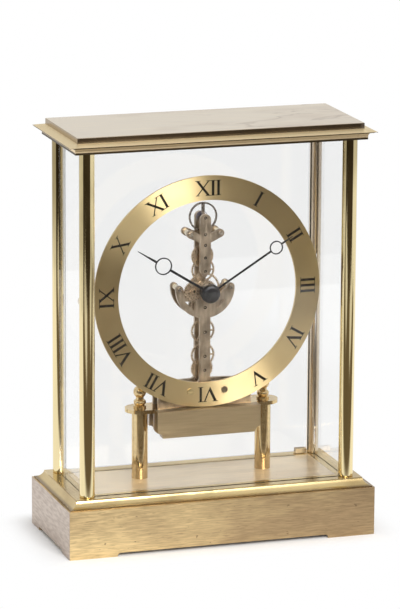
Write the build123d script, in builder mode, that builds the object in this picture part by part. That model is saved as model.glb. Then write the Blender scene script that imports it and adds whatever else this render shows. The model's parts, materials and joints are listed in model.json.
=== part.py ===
from build123d import *
import math
import os

# Desk clock in a glass case with an in-line skeleton movement, in millimetres.
# Front is -Y, up is +Z, and the origin is the middle of the base on the table.

os.makedirs("parts", exist_ok=True)

# Fits, as gaps on each side
running_gap = 0.05
pane_gap = 0.2
drop_in_gap = 0.15
swing_gap = 0.3

# Base
base_length = 167.5
base_depth = 72.7
plinth_height = 25.7
plinth_wall = 2.5
plinth_ledge = 1.5
plinth_edge_round = 0.4
underplate_bottom = 2.5
underplate_thickness = 2.0
front_foot_length = 26.0
side_foot_length = 14.0
foot_height = 1.9
foot_round = 1.4
moulding_lip_inset = 1.1
moulding_lip_height = 0.5
moulding_cove_inset = 1.6
moulding_cove_middle_inset = 3.6
moulding_cove_middle_height = 1.5
moulding_cove_height = 3.9
moulding_top_inset = 5.33
moulding_height = 4.55
floor_thickness = 2.0
floor_margin = 0.5
floor_ledge = 2.0

# Columns, panes and tie rods
column_radius = 4.0
column_height = 181.15
column_inset_x = 12.75
column_inset_y = 11.15
column_chamfer = 0.3
glass_thickness = 2.5
groove_depth = 1.2
rod_radius = 1.5
rod_grip = 3.5
rod_head_radius = 3.0
rod_head_height = 1.5

# Cornice and top slab
cornice_step_inset = 5.0
cornice_step_height = 1.8
cornice_cove_middle_inset = 4.3
cornice_cove_middle_height = 3.3
cornice_flange_inset = 1.1
cornice_flange_height = 4.0
cornice_flange_edge = 0.35
cornice_height = 5.6
slab_inset = 6.4
slab_thickness = 3.0
slab_round = 0.4

# Rear door, hung on two pivot shoes
door_hinge_from_column = 6.5
door_edge_gap = 0.8
shoe_length = 4.5
shoe_height = 2.6
shoe_wall = 0.7
shoe_floor = 1.0
door_pin_radius = 0.8
door_pin_length = 2.5
door_knob_radius = 3.2
door_knob_reach = 6.0
door_knob_neck_radius = 1.5
door_knob_neck = 2.2
door_knob_from_edge = 11.6
door_knob_round = 1.0
door_washer_thickness = 0.8

# Stand
post_radius = 4.25
post_height = 36.15
post_spacing = 68.2
post_stud_radius = 1.1
post_screw_radius = 2.0
post_screw_grip = 8.0
post_screw_head_radius = 3.6
post_screw_head_height = 2.0
platform_length = 84.0
platform_depth = 15.4
platform_thickness = 2.0
finial_ball_radius = 3.4
finial_height = 11.75
finial_foot_radius = 3.4
finial_foot_height = 1.0
finial_waist_radius = 2.5
finial_waist_height = 1.5
finial_collar_radius = 3.3
finial_collar_height = 2.9
finial_neck_radius = 2.1
finial_neck_height = 4.4
finial_socket_depth = 3.2

# Plates
plate_front = -2.0
plate_thickness = 2.0
plate_gap = 7.0
apron_half_width = 27.75
apron_drop = 12.4
apron_notch = 3.0
apron_thickness = 5.8
apron_overhang = 0.65
foot_half_width = 25.6
foot_side_rise = 13.2
foot_crown_rise = 14.4
stem_width = 5.7
stem_fillet = 2.0
crescent_radius = 16.1
crescent_rise = 1.0
crescent_tip_radius = 1.95
crescent_valley_x = 6.0
crescent_valley_drop = 5.4
crescent_window = ((5.0, -7.0), (11.3, -6.5), (6.2, -11.5))
boss_radius = 5.2
lug_radius = 1.7
upper_stem_width = 5.8
upper_point_rise = 6.6
upper_top_past_balance = 2.0
arm_x = 8.08
arm_rise = 0.5
arm_root_drop = 3.9
arm_width = 4.2
pillar_radius = 1.5
foot_pillar_radius = 2.2
foot_pillar_x = 22.5
foot_pillar_rise = 8.6
apron_pillar_drop = 8.4
screw_radius = 0.6
screw_grip = 2.5
screw_head_radius = 1.1
screw_head_height = 0.8
slot_width = 0.35
slot_depth = 0.35
oil_sink_radius = 0.9
oil_sink_depth = 0.5

# Train: tooth counts, modules of the chains below the centre, centre distances above it
great_teeth = 62
idler_teeth = 18
first_pinion_teeth = 8
power_module = 0.4
first_teeth = 45
second_pinion_teeth = 12
first_module = 0.26667
second_teeth = 52
lower_transfer_teeth = 52
upper_transfer_teeth = 54
centre_pinion_teeth = 22
transfer_module = 0.25
centre_teeth = 64
third_pinion_teeth = 8
third_distance = 9.9
third_teeth = 60
fourth_pinion_teeth = 8
fourth_distance = 7.2
fourth_teeth = 70
escape_pinion_teeth = 7
escape_distance = 6.7
pallet_distance = 5.675
balance_distance = 8.85
centre_rise = 64.0
addendum = 0.8
dedendum = 1.15
tooth_root_share = 0.54
tooth_tip_share = 0.2
wheel_thickness = 0.6
power_wheel_thickness = 0.8
pinion_overhang = 0.2
rim_width = 0.7
spoke_width = 0.8
wheel_hub_radius = 1.3
spoke_count = 3
arbor_radius = 0.4
pivot_radius = 0.3
pivot_end_gap = 0.05
end_shake = 0.15

# Layers of the wheels, from the back of the front plate
power_layer = 5.3
first_layer = 3.4
transfer_layer = 2.0
centre_layer = 0.8
third_layer = 2.3
fourth_layer = 3.4
escape_layer = 1.2
balance_layer = 2.4
hairspring_layer = 4.2

# Barrel and winding work
barrel_radius = 11.6
barrel_wall = 0.7
barrel_depth = 4.2
barrel_cover_thickness = 0.6
barrel_arbor_radius = 1.6
barrel_core_radius = 2.2
mainspring_strip = 0.4
mainspring_pitch = 1.2
mainspring_turns = 6
mainspring_start = 2.9
mainspring_height = 2.6
mainspring_hook_width = 0.8
ratchet_radius = 5.0
ratchet_teeth = 24
ratchet_tooth_depth = 0.6
ratchet_thickness = 0.8
ratchet_gap = 0.3
click_distance = 8.6
click_angle = 40.0
click_radius = 1.3
click_nose_width = 1.1
winding_knob_radius = 6.0
winding_knob_depth = 7.0
winding_notch_gap = 1.2
knurl_count = 40
idler_stud_radius = 0.8
idler_stud_head_radius = 1.5
idler_stud_head = 0.4

# Escapement and balance
escape_teeth = 15
escape_radius = 3.2
escape_root_radius = 2.35
escape_tooth_lean = 8.0
escape_tooth_tip = 2.0
escape_tooth_root = 14.0
pallet_angle = 30.0
pallet_gap = 0.35
pallet_arm_width = 0.9
lever_width = 0.9
fork_width = 2.2
fork_length = 1.2
fork_notch_width = 0.7
fork_notch_depth = 0.8
fork_gap = 0.25
roller_radius = 1.5
roller_thickness = 0.3
roller_pin_radius = 0.22
roller_pin_orbit = 1.2
balance_radius = 7.75
balance_rim_width = 0.9
balance_thickness = 0.9
balance_arm_width = 1.8
balance_arm_thickness = 0.5
balance_hub_radius = 1.3
balance_staff_radius = 0.5
hairspring_start = 0.85
hairspring_pitch = 0.6
hairspring_strip = 0.15
hairspring_turns = 4
hairspring_height = 0.4
collet_radius = 0.7
hairspring_stud_width = 0.9

# Dial and hands
chapter_outer_radius = 61.7
chapter_inner_radius = 48.8
chapter_front = -6.2
chapter_thickness = 1.5
chapter_screw_x = 9.4
chapter_screw_drop = 53.05
chapter_spacer_radius = 2.0
chapter_screw_radius = 0.8
chapter_screw_head_radius = 1.7
cannon_teeth = 12
minute_wheel_teeth = 36
minute_pinion_teeth = 10
hour_teeth = 40
motion_distance = 6.9
motion_stud_radius = 0.7
motion_wheel_thickness = 0.5
motion_gap = 0.4
cannon_radius = 1.0
centre_arbor_radius = 0.7
hour_pipe_radius = 1.7
hour_drum_radius = 4.0
hour_drum_front = -9.7
hour_blade_front = -9.2
hour_length = 46.0
hour_ring_at = 29.7
hour_ring_radius = 4.6
hour_angle = 57.9
minute_hub_radius = 5.1
minute_hub_front = -13.3
minute_hub_edge = 1.2
minute_blade_front = -11.0
minute_length = 52.8
minute_ring_at = 42.3
minute_ring_radius = 3.65
minute_angle = -58.2
hand_thickness = 0.5
hand_ring_stroke = 0.6
hour_arm_width = 1.3
minute_arm_width = 1.0
hand_tip_width = 0.4
hand_gap = 0.3
setting_knob_radius = 4.0
setting_knob_depth = 4.0
setting_knob_gap = 0.5

# Heights and places that follow from the sizes above
STAND = (Align.CENTER, Align.CENTER, Align.MIN)
moulding_top = plinth_height + moulding_height
ceiling = moulding_top + column_height
cornice_top = ceiling + cornice_height
column_spacing_x = base_length - 2 * column_inset_x
column_spacing_y = base_depth - 2 * column_inset_y
column_x = column_spacing_x / 2
column_y = column_spacing_y / 2
floor_half_x = column_x - column_radius - floor_margin
floor_half_y = column_y - column_radius - floor_margin
ledge_inset = plinth_wall + plinth_ledge
underplate_top = underplate_bottom + underplate_thickness
plate_inner = plate_front + plate_thickness
rear_inner = plate_inner + plate_gap
rear_face = rear_inner + plate_thickness
middle_y = (plate_front + rear_face) / 2
platform_bottom = moulding_top + post_height
platform_top = platform_bottom + platform_thickness
centre_height = platform_bottom + centre_rise
post_x = post_spacing / 2
apron_bottom = platform_bottom - apron_drop
foot_side_top = platform_bottom + foot_side_rise
foot_crown_top = platform_bottom + foot_crown_rise
stem_half = stem_width / 2


def distance(module, teeth, pinion_teeth):
    return module * (teeth + pinion_teeth) / 2


def module_for(spacing, teeth, pinion_teeth):
    return 2 * spacing / (teeth + pinion_teeth)


upper_transfer_z = centre_height - distance(transfer_module, upper_transfer_teeth, centre_pinion_teeth)
lower_transfer_z = upper_transfer_z - distance(transfer_module, lower_transfer_teeth, upper_transfer_teeth)
second_z = lower_transfer_z - distance(transfer_module, second_teeth, lower_transfer_teeth)
first_z = second_z - distance(first_module, first_teeth, second_pinion_teeth)
idler_z = first_z - distance(power_module, idler_teeth, first_pinion_teeth)
barrel_z = idler_z - distance(power_module, great_teeth, idler_teeth)
third_z = centre_height + third_distance
fourth_z = third_z + fourth_distance
escape_z = fourth_z + escape_distance
pallet_z = escape_z + pallet_distance
balance_z = pallet_z + balance_distance
centre_module = module_for(third_distance, centre_teeth, third_pinion_teeth)
third_module = module_for(fourth_distance, third_teeth, fourth_pinion_teeth)
fourth_module = module_for(escape_distance, fourth_teeth, escape_pinion_teeth)
minute_module = module_for(motion_distance, cannon_teeth, minute_wheel_teeth)
hour_module = module_for(motion_distance, minute_pinion_teeth, hour_teeth)
crescent_z = centre_height + crescent_rise
crescent_tip_x = crescent_radius - crescent_tip_radius
arm_z = pallet_z + arm_rise
front_pivots = (first_z, second_z, lower_transfer_z, upper_transfer_z)
upper_pivots = (third_z, fourth_z, escape_z, pallet_z, balance_z)
pillar_places = [
    (side * x, z, radius)
    for side in (-1, 1)
    for x, z, radius in (
        (arm_x, arm_z, pillar_radius),
        (crescent_tip_x, crescent_z, pillar_radius),
        (foot_pillar_x, platform_bottom + foot_pillar_rise, foot_pillar_radius),
        (foot_pillar_x, platform_bottom - apron_pillar_drop, foot_pillar_radius),
    )
]
click_x = click_distance * math.cos(math.radians(click_angle))
click_z = barrel_z + click_distance * math.sin(math.radians(click_angle))
chapter_screw_z = centre_height - chapter_screw_drop
chapter_back = chapter_front + chapter_thickness
up_angle = 90.0
down_angle = 270.0
left_angle = 180.0


def save(built, name):
    built.part.label = name
    export_step(built.part, f"parts/{name}.step")


def facing_front(y, x=0.0, z=0.0, turn=0.0):
    """Plane at depth y seen from the front, X to the right and Z up, turned left by some degrees."""
    angle = math.radians(turn)
    return Plane(origin=(x, y, z), x_dir=(math.cos(angle), 0, math.sin(angle)), z_dir=(0, -1, 0))


def turned(z, sections, x=0.0):
    """Coaxial cylinders along Y: each section is its front, its back and its radius."""
    for front, back, radius in sections:
        with BuildSketch(facing_front(back, x, z)) as disc:
            Circle(radius)
        extrude(disc.sketch, amount=back - front)


def tooth_points(teeth, module, tooth_angle):
    """Straight-flanked teeth round a pitch circle, with one tooth middle at tooth_angle."""
    step = 360 / teeth
    tip = module * (teeth / 2 + addendum)
    root = module * (teeth / 2 - dedendum)
    corners = (
        (root, -tooth_root_share / 2),
        (tip, -tooth_tip_share / 2),
        (tip, tooth_tip_share / 2),
        (root, tooth_root_share / 2),
    )
    points = []
    for tooth in range(teeth):
        for radius, share in corners:
            angle = math.radians(tooth_angle + (tooth + share) * step)
            points.append((radius * math.cos(angle), radius * math.sin(angle)))
    return points


def gap_at(angle, teeth):
    """Tooth angle that puts the middle of a gap at this angle."""
    return angle + 180 / teeth


def wheel_face(teeth, module, tooth_angle, spokes):
    """Toothed wheel drawn in the open sketch: a rim, a hub and spokes, or a plain disc with none."""
    Polygon(*tooth_points(teeth, module, tooth_angle))
    if spokes:
        inside = module * (teeth / 2 - dedendum) - rim_width
        reach = inside + rim_width / 2
        Circle(inside, mode=Mode.SUBTRACT)
        Circle(wheel_hub_radius)
        with PolarLocations(reach / 2, spokes):
            Rectangle(reach, spoke_width)


def arbor_sections(front_neck=0.0):
    """Shaft between the plates with a pivot at each end; front_neck lengthens the front pivot."""
    shoulder = plate_inner + end_shake + front_neck
    back_shoulder = rear_inner - end_shake
    front_end = plate_front + oil_sink_depth + pivot_end_gap
    back_end = rear_face - oil_sink_depth - pivot_end_gap
    return (
        (front_end, shoulder, pivot_radius),
        (shoulder, back_shoulder, arbor_radius),
        (back_shoulder, back_end, pivot_radius),
    )


def pinion(z, layer, thickness, teeth, module, tooth_angle):
    """Solid pinion on its arbor, a little longer than the wheel it meshes with."""
    back = plate_inner + layer + thickness + pinion_overhang
    with BuildSketch(facing_front(back, 0, z)) as leaves:
        Polygon(*tooth_points(teeth, module, tooth_angle))
    extrude(leaves.sketch, amount=thickness + 2 * pinion_overhang)


def spiral_band(start, pitch, turns, strip):
    """Flat spiral strip from half circles about two centres, drawn in the open sketch."""
    with BuildLine() as edges:
        for half in range(2 * turns):
            centre = (pitch / 2 * (half % 2), 0)
            radius = start + half * pitch / 2
            from_angle = 180 * (half % 2)
            CenterArc(centre, radius + strip / 2, from_angle, 180)
            CenterArc(centre, radius - strip / 2, from_angle, 180)
        Line((start - strip / 2, 0), (start + strip / 2, 0))
        end = start + turns * pitch
        Line((end - strip / 2, 0), (end + strip / 2, 0))
    make_face(edges.edges())
    print("spiral, least gap between turns:", round(pitch - strip, 3))


def moulding_half(points_and_arc):
    """Half of a moulding's section, given as edges from the middle out and back."""
    with BuildLine() as outline:
        points_and_arc()
    make_face(outline.edges())
    mirror(about=Plane.YZ)


def mitred(section):
    """Solid whose level cuts are rectangles: the section along X met by the section along Y."""
    faces = ((Plane.XZ, base_length, base_depth), (Plane.YZ, base_depth, base_length))
    for (plane, width, run), mode in zip(faces, (Mode.ADD, Mode.INTERSECT)):
        with BuildSketch(plane) as profile:
            moulding_half(lambda: section(width / 2))
        extrude(profile.sketch, amount=run, both=True, mode=mode)


# Plinth: a hollow brass box on four bracket feet, with a ledge for the underplate
with BuildPart() as plinth:
    Box(base_length, base_depth, plinth_height, align=STAND)
    fillet(plinth.edges().filter_by(Axis.Z), plinth_edge_round)
    Box(
        base_length - 2 * plinth_wall,
        base_depth - 2 * plinth_wall,
        underplate_top,
        align=STAND,
        mode=Mode.SUBTRACT,
    )
    Box(
        base_length - 2 * ledge_inset,
        base_depth - 2 * ledge_inset,
        plinth_height,
        align=STAND,
        mode=Mode.SUBTRACT,
    )
    for plane, width, foot, run in (
        (Plane.XZ, base_length, front_foot_length, base_depth),
        (Plane.YZ, base_depth, side_foot_length, base_length),
    ):
        with BuildSketch(plane) as arch:
            Rectangle(width - 2 * foot, 2 * foot_height)
            fillet(arch.vertices().group_by(Axis.Y)[-1], foot_round)
        extrude(amount=run, both=True, mode=Mode.SUBTRACT)
save(plinth, "plinth")

rod_bore = rod_radius + drop_in_gap

# Underplate: closes the plinth and takes the heads of the tie rods
with BuildPart(Plane.XY.offset(underplate_bottom)) as underplate:
    Box(
        base_length - 2 * (plinth_wall + drop_in_gap),
        base_depth - 2 * (plinth_wall + drop_in_gap),
        underplate_thickness,
        align=STAND,
    )
    with GridLocations(column_spacing_x, column_spacing_y, 2, 2):
        Hole(rod_bore)
save(underplate, "underplate")


def base_section(half):
    lip = half - moulding_lip_inset
    cove = half - moulding_cove_inset
    top = half - moulding_top_inset
    lip_z = plinth_height + moulding_lip_height
    cove_z = plinth_height + moulding_cove_height
    middle = (half - moulding_cove_middle_inset, plinth_height + moulding_cove_middle_height)
    Polyline((0, moulding_top), (0, plinth_height), (lip, plinth_height), (lip, lip_z), (cove, lip_z))
    ThreePointArc((cove, lip_z), middle, (top, cove_z))
    Polyline((top, cove_z), (top, moulding_top), (0, moulding_top))


door_pin_x = column_x - door_hinge_from_column
door_half_width = column_x - column_radius - door_edge_gap
pin_hole_radius = door_pin_radius + running_gap

# Base moulding: coved frame on the plinth, with a rebate for the floor plate
with BuildPart() as base_moulding:
    mitred(base_section)
    with Locations((0, 0, moulding_top - floor_thickness)):
        Box(2 * floor_half_x, 2 * floor_half_y, floor_thickness, align=STAND, mode=Mode.SUBTRACT)
    with Locations((0, 0, plinth_height)):
        Box(
            2 * (floor_half_x - floor_ledge),
            2 * (floor_half_y - floor_ledge),
            moulding_height,
            align=STAND,
            mode=Mode.SUBTRACT,
        )
    with BuildSketch(Plane.XY.offset(moulding_top)):
        with GridLocations(column_spacing_x, column_spacing_y, 2, 2):
            Circle(rod_bore)
    extrude(amount=-moulding_height, mode=Mode.SUBTRACT)
    with BuildSketch(Plane.XY.offset(moulding_top)):
        with Locations((door_pin_x, column_y)):
            Circle(pin_hole_radius)
    extrude(amount=-(door_pin_length + pane_gap), mode=Mode.SUBTRACT)
save(base_moulding, "base_moulding")

# Floor plate: drops into the rebate of the base moulding, flush with its top
with BuildPart(Plane.XY.offset(moulding_top - floor_thickness)) as floor_plate:
    Box(
        2 * (floor_half_x - running_gap),
        2 * (floor_half_y - running_gap),
        floor_thickness,
        align=STAND,
    )
    with Locations((-post_x, middle_y), (post_x, middle_y)):
        Hole(post_screw_radius + drop_in_gap)
save(floor_plate, "floor_plate")

# Columns: polished rods grooved for the panes and bored for the tie rods
groove_width = glass_thickness + 2 * pane_gap
for row, row_side in (("front", -1), ("rear", 1)):
    for side, column_side in (("left", -1), ("right", 1)):
        with BuildPart(Plane((column_side * column_x, row_side * column_y, moulding_top))) as column:
            Cylinder(column_radius, column_height, align=STAND)
            chamfer(column.edges().filter_by(GeomType.CIRCLE), column_chamfer)
            with Locations((0, -row_side * column_radius, 0)):
                Box(groove_width, 2 * groove_depth, column_height, align=STAND, mode=Mode.SUBTRACT)
            if row == "front":
                with Locations((-column_side * column_radius, 0, 0)):
                    Box(2 * groove_depth, groove_width, column_height, align=STAND, mode=Mode.SUBTRACT)
            Hole(rod_bore)
        save(column, f"{row}_{side}_column")

# Tie rods: headed under the underplate, up through the columns, screwed into the cornice
with BuildPart() as tie_rods:
    with BuildSketch(Plane.XY.offset(underplate_bottom)):
        with GridLocations(column_spacing_x, column_spacing_y, 2, 2):
            Circle(rod_head_radius)
    extrude(amount=-rod_head_height)
    with BuildSketch(Plane.XY.offset(underplate_bottom)):
        with GridLocations(column_spacing_x, column_spacing_y, 2, 2):
            Circle(rod_radius)
    extrude(amount=ceiling + rod_grip - underplate_bottom)
save(tie_rods, "tie_rods")


def cornice_section(half):
    step = half - cornice_step_inset
    step_z = ceiling + cornice_step_height
    middle = (half - cornice_cove_middle_inset, ceiling + cornice_cove_middle_height)
    tip = half - cornice_flange_inset
    tip_z = ceiling + cornice_flange_height
    edge_z = tip_z + cornice_flange_edge
    slab_edge = half - slab_inset
    Polyline((0, cornice_top), (0, ceiling), (step, ceiling), (step, step_z))
    ThreePointArc((step, step_z), middle, (tip, tip_z))
    Polyline((tip, tip_z), (tip, edge_z), (slab_edge, cornice_top), (0, cornice_top))


# Cornice: moulded ceiling of the case, tapped for the tie rods
with BuildPart() as cornice:
    mitred(cornice_section)
    with BuildSketch(Plane.XY.offset(ceiling)):
        with GridLocations(column_spacing_x, column_spacing_y, 2, 2):
            Circle(rod_radius + running_gap)
    extrude(amount=rod_grip + pane_gap, mode=Mode.SUBTRACT)
    with BuildSketch(Plane.XY.offset(ceiling)):
        with Locations((door_pin_x, column_y)):
            Circle(pin_hole_radius)
    extrude(amount=door_pin_length + pane_gap, mode=Mode.SUBTRACT)
save(cornice, "cornice")

# Top slab: flat plate on the cornice
with BuildPart(Plane.XY.offset(cornice_top)) as top_slab:
    Box(base_length - 2 * slab_inset, base_depth - 2 * slab_inset, slab_thickness, align=STAND)
    fillet(top_slab.edges().filter_by(Axis.Z), slab_round)
    fillet(top_slab.faces().sort_by(Axis.Z)[-1].edges(), slab_round)
save(top_slab, "top_slab")

# Fixed panes: they stand on the moulding in the column grooves
pane_height = column_height - pane_gap
groove_reach = groove_depth - pane_gap - column_radius
with BuildPart(Plane((0, -column_y, moulding_top))) as front_pane:
    Box(2 * (column_x + groove_reach), glass_thickness, pane_height, align=STAND)
save(front_pane, "front_pane")

with BuildPart(Plane((0, 0, moulding_top))) as side_panes:
    with Locations((-column_x, 0, 0), (column_x, 0, 0)):
        Box(glass_thickness, 2 * (column_y + groove_reach), pane_height, align=STAND)
save(side_panes, "side_panes")

# Rear door: a pane held in two brass shoes that turn on pins, with a knob through the glass
shoe_bottom = moulding_top + swing_gap
shoe_top = ceiling - swing_gap
door_bottom = shoe_bottom + shoe_floor
door_top = shoe_top - shoe_floor
knob_x = door_knob_from_edge - door_half_width
knob_z = (door_bottom + door_top) / 2
with BuildPart(Plane((0, column_y, door_bottom))) as door_pane:
    Box(2 * door_half_width, glass_thickness, door_top - door_bottom, align=STAND)
    with BuildSketch(facing_front(column_y + glass_thickness, knob_x, knob_z)):
        Circle(door_knob_neck_radius + running_gap)
    extrude(amount=2 * glass_thickness, mode=Mode.SUBTRACT)
save(door_pane, "door_pane")

shoe_half_width = glass_thickness / 2 + shoe_wall
with BuildPart() as door_shoes:
    for outer_z, way in ((shoe_bottom, 1), (shoe_top, -1)):
        slot_z = outer_z + way * (shoe_floor + shoe_height / 2)
        with BuildSketch(Plane((door_pin_x, column_y, outer_z))):
            Circle(shoe_half_width)
            Rectangle(shoe_length, 2 * shoe_half_width, align=(Align.MAX, Align.CENTER))
        extrude(amount=way * shoe_height)
        with Locations((door_pin_x, column_y, slot_z)):
            Box(2 * shoe_length, glass_thickness, shoe_height, mode=Mode.SUBTRACT)
        with BuildSketch(Plane((door_pin_x, column_y, outer_z))):
            Circle(door_pin_radius)
        extrude(amount=-way * (swing_gap + door_pin_length))
save(door_shoes, "door_shoes")

door_back = column_y + glass_thickness / 2
door_front = column_y - glass_thickness / 2
with BuildPart() as door_knob:
    turned(
        knob_z,
        (
            (door_front, door_back + door_knob_neck, door_knob_neck_radius),
            (door_front - door_washer_thickness, door_front, door_knob_radius),
            (door_back, door_back + door_washer_thickness, door_knob_radius),
            (door_back + door_knob_neck, door_back + door_knob_reach, door_knob_radius),
        ),
        knob_x,
    )
    fillet(door_knob.faces().sort_by(Axis.Y)[-1].edges(), door_knob_round)
save(door_knob, "door_knob")

# Posts: turned rods on the floor with a stud through the platform into the finial
post_places = (-post_x, post_x)
with BuildPart() as platform_posts:
    for x in post_places:
        with BuildSketch(Plane((x, middle_y, moulding_top))):
            Circle(post_radius)
        extrude(amount=post_height)
        with BuildSketch(Plane((x, middle_y, platform_bottom))):
            Circle(post_stud_radius)
        extrude(amount=platform_thickness + finial_socket_depth)
        with BuildSketch(Plane((x, middle_y, moulding_top))):
            Circle(post_screw_radius + running_gap)
        extrude(amount=post_screw_grip + pane_gap, mode=Mode.SUBTRACT)
save(platform_posts, "platform_posts")

floor_bottom = moulding_top - floor_thickness
with BuildPart() as post_screws:
    for x in post_places:
        with BuildSketch(Plane((x, middle_y, floor_bottom))):
            Circle(post_screw_head_radius)
        extrude(amount=-post_screw_head_height)
        with BuildSketch(Plane((x, middle_y, floor_bottom))):
            Circle(post_screw_radius)
        extrude(amount=floor_thickness + post_screw_grip)
save(post_screws, "post_screws")

# Platform: stadium plate with slots for both plates, a window for the barrel
# and a notch behind for the winding work
great_tip = power_module * (great_teeth / 2 + addendum)
window_half = great_tip + swing_gap
notch_half = winding_knob_radius + winding_notch_gap
platform_back = middle_y + platform_depth / 2
with BuildPart() as platform:
    with BuildSketch(Plane((0, middle_y, platform_bottom))):
        SlotOverall(platform_length, platform_depth)
    extrude(amount=platform_thickness)
    with BuildSketch(Plane.XY.offset(platform_bottom)):
        for plate_middle in (plate_front + plate_thickness / 2, rear_face - plate_thickness / 2):
            with Locations((0, plate_middle)):
                Rectangle(2 * (foot_half_width + running_gap), plate_thickness + 2 * running_gap)
        with Locations((0, middle_y)):
            Rectangle(2 * window_half, plate_gap)
        with Locations((0, platform_back)):
            Rectangle(2 * notch_half, 2 * (platform_back - rear_face))
        with Locations(*[(x, middle_y) for x in post_places]):
            Circle(post_stud_radius + drop_in_gap)
    extrude(amount=platform_thickness, mode=Mode.SUBTRACT)
save(platform, "platform")

# Finials: turned foot, neck, collar and ball over the post studs
ball_z = finial_height - finial_ball_radius
with BuildPart() as finials:
    for x in post_places:
        with BuildSketch(Plane((x, middle_y, platform_top), x_dir=(1, 0, 0), z_dir=(0, -1, 0))):
            with BuildLine() as profile:
                Polyline(
                    (0, ball_z),
                    (0, 0),
                    (finial_foot_radius, 0),
                    (finial_foot_radius, finial_foot_height),
                    (finial_waist_radius, finial_waist_height),
                )
                ThreePointArc(
                    (finial_waist_radius, finial_waist_height),
                    (finial_collar_radius, finial_collar_height),
                    (finial_neck_radius, finial_neck_height),
                )
                Polyline(
                    (finial_neck_radius, finial_neck_height),
                    (finial_neck_radius, ball_z),
                    (0, ball_z),
                )
            make_face()
        revolve(axis=Axis((x, middle_y, platform_top), (0, 0, 1)))
        with Locations((x, middle_y, platform_top + ball_z)):
            Sphere(finial_ball_radius)
        with BuildSketch(Plane((x, middle_y, platform_top))):
            Circle(post_stud_radius + running_gap)
        extrude(amount=finial_socket_depth + pane_gap, mode=Mode.SUBTRACT)
save(finials, "finials")


def apron(half_width, top):
    """Apron from its bottom edge up to a height, its lower corners cut in by quarter circles."""
    with Locations((0, top)):
        Rectangle(2 * half_width, top - apron_bottom, align=(Align.CENTER, Align.MAX))
    with Locations((-half_width, apron_bottom), (half_width, apron_bottom)):
        Circle(apron_notch, mode=Mode.SUBTRACT)


def lower_outline():
    """Crescent, apron, foot and stem of the lower part of a plate, in the open sketch."""
    with Locations((0, crescent_z)):
        Circle(crescent_radius)
        Rectangle(
            2 * crescent_radius, crescent_radius, align=(Align.CENTER, Align.MIN), mode=Mode.SUBTRACT
        )
        for side in (-1, 1):
            tip_inside = side * (crescent_tip_x - crescent_tip_radius)
            valley = (side * crescent_valley_x, -crescent_valley_drop)
            Polygon((tip_inside, 0), valley, (side * stem_half, 0), mode=Mode.SUBTRACT)
            Polygon(*[(side * x, z) for x, z in crescent_window], mode=Mode.SUBTRACT)
            with Locations((side * crescent_tip_x, 0)):
                Circle(crescent_tip_radius)
    middle_x = (foot_half_width + stem_half) / 2
    middle_z = (foot_side_top + 3 * foot_crown_top) / 4
    with BuildLine() as outline:
        Polyline(
            (0, crescent_z),
            (0, platform_bottom),
            (foot_half_width, platform_bottom),
            (foot_half_width, foot_side_top),
        )
        ThreePointArc((foot_half_width, foot_side_top), (middle_x, middle_z), (stem_half, foot_crown_top))
        Polyline((stem_half, foot_crown_top), (stem_half, crescent_z), (0, crescent_z))
    with BuildSketch() as half:
        make_face(outline.edges())
        fillet(half.vertices().sort_by_distance((stem_half, foot_crown_top))[0], stem_fillet)
    apron(apron_half_width, platform_bottom)
    add(half.sketch)
    add(half.sketch.mirror(Plane.YZ))
    with Locations((0, centre_height)):
        Circle(boss_radius)


def upper_outline():
    """Pointed stem, rounded top and two arms of the upper part of a plate."""
    half = upper_stem_width / 2
    top_middle = balance_z + upper_top_past_balance - half
    Polygon(
        (0, centre_height + upper_point_rise),
        (half, third_z),
        (half, top_middle),
        (-half, top_middle),
        (-half, third_z),
    )
    with Locations((0, top_middle)):
        Circle(half)
    for side in (-1, 1):
        arm_middle = (side * arm_x / 2, arm_z - arm_root_drop / 2)
        SlotCenterPoint(arm_middle, (side * arm_x, arm_z), arm_width)


def drill(places, radius):
    with Locations(*places):
        Circle(radius, mode=Mode.SUBTRACT)


def oil_sinks(outer_y, way, heights):
    """Shallow wells round the pivots on a plate's outer face."""
    with BuildSketch(facing_front(outer_y)) as wells:
        with Locations(*[(0, z) for z in heights]):
            Circle(oil_sink_radius)
    extrude(wells.sketch, amount=way * oil_sink_depth, mode=Mode.SUBTRACT)


pivot_hole = pivot_radius + running_gap
screw_hole = screw_radius + running_gap
centre_hole = centre_arbor_radius + running_gap
barrel_hole = barrel_arbor_radius + running_gap
lower_pillars = [(x, z) for x, z, radius in pillar_places if z < centre_height + boss_radius]
upper_pillars = [(x, z) for x, z, radius in pillar_places if z > centre_height + boss_radius]
chapter_screw_places = [(-chapter_screw_x, chapter_screw_z), (chapter_screw_x, chapter_screw_z)]

# Front lower bridge: apron, foot, stem and crescent in one plate, with a lug for the minute wheel
with BuildPart() as front_lower_bridge:
    with BuildSketch(facing_front(plate_inner)):
        lower_outline()
        lug_end = (-motion_distance, centre_height)
        SlotCenterPoint((-motion_distance / 2, centre_height), lug_end, 2 * lug_radius)
        drill([(0, z) for z in front_pivots], pivot_hole)
        drill([(0, centre_height)], centre_hole)
        drill([(0, barrel_z)], barrel_hole)
        drill(lower_pillars, screw_hole)
        drill(chapter_screw_places, chapter_screw_radius + running_gap)
        drill([lug_end], motion_stud_radius)
    extrude(amount=plate_thickness)
    oil_sinks(plate_front, -1, front_pivots)
save(front_lower_bridge, "front_lower_bridge")

# Front upper bridge: carries the front pivots of the fast wheels and the balance
with BuildPart() as front_upper_bridge:
    with BuildSketch(facing_front(plate_inner)):
        upper_outline()
        drill([(0, z) for z in upper_pivots], pivot_hole)
        drill(upper_pillars, screw_hole)
    extrude(amount=plate_thickness)
    oil_sinks(plate_front, -1, upper_pivots)
save(front_upper_bridge, "front_upper_bridge")

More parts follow.
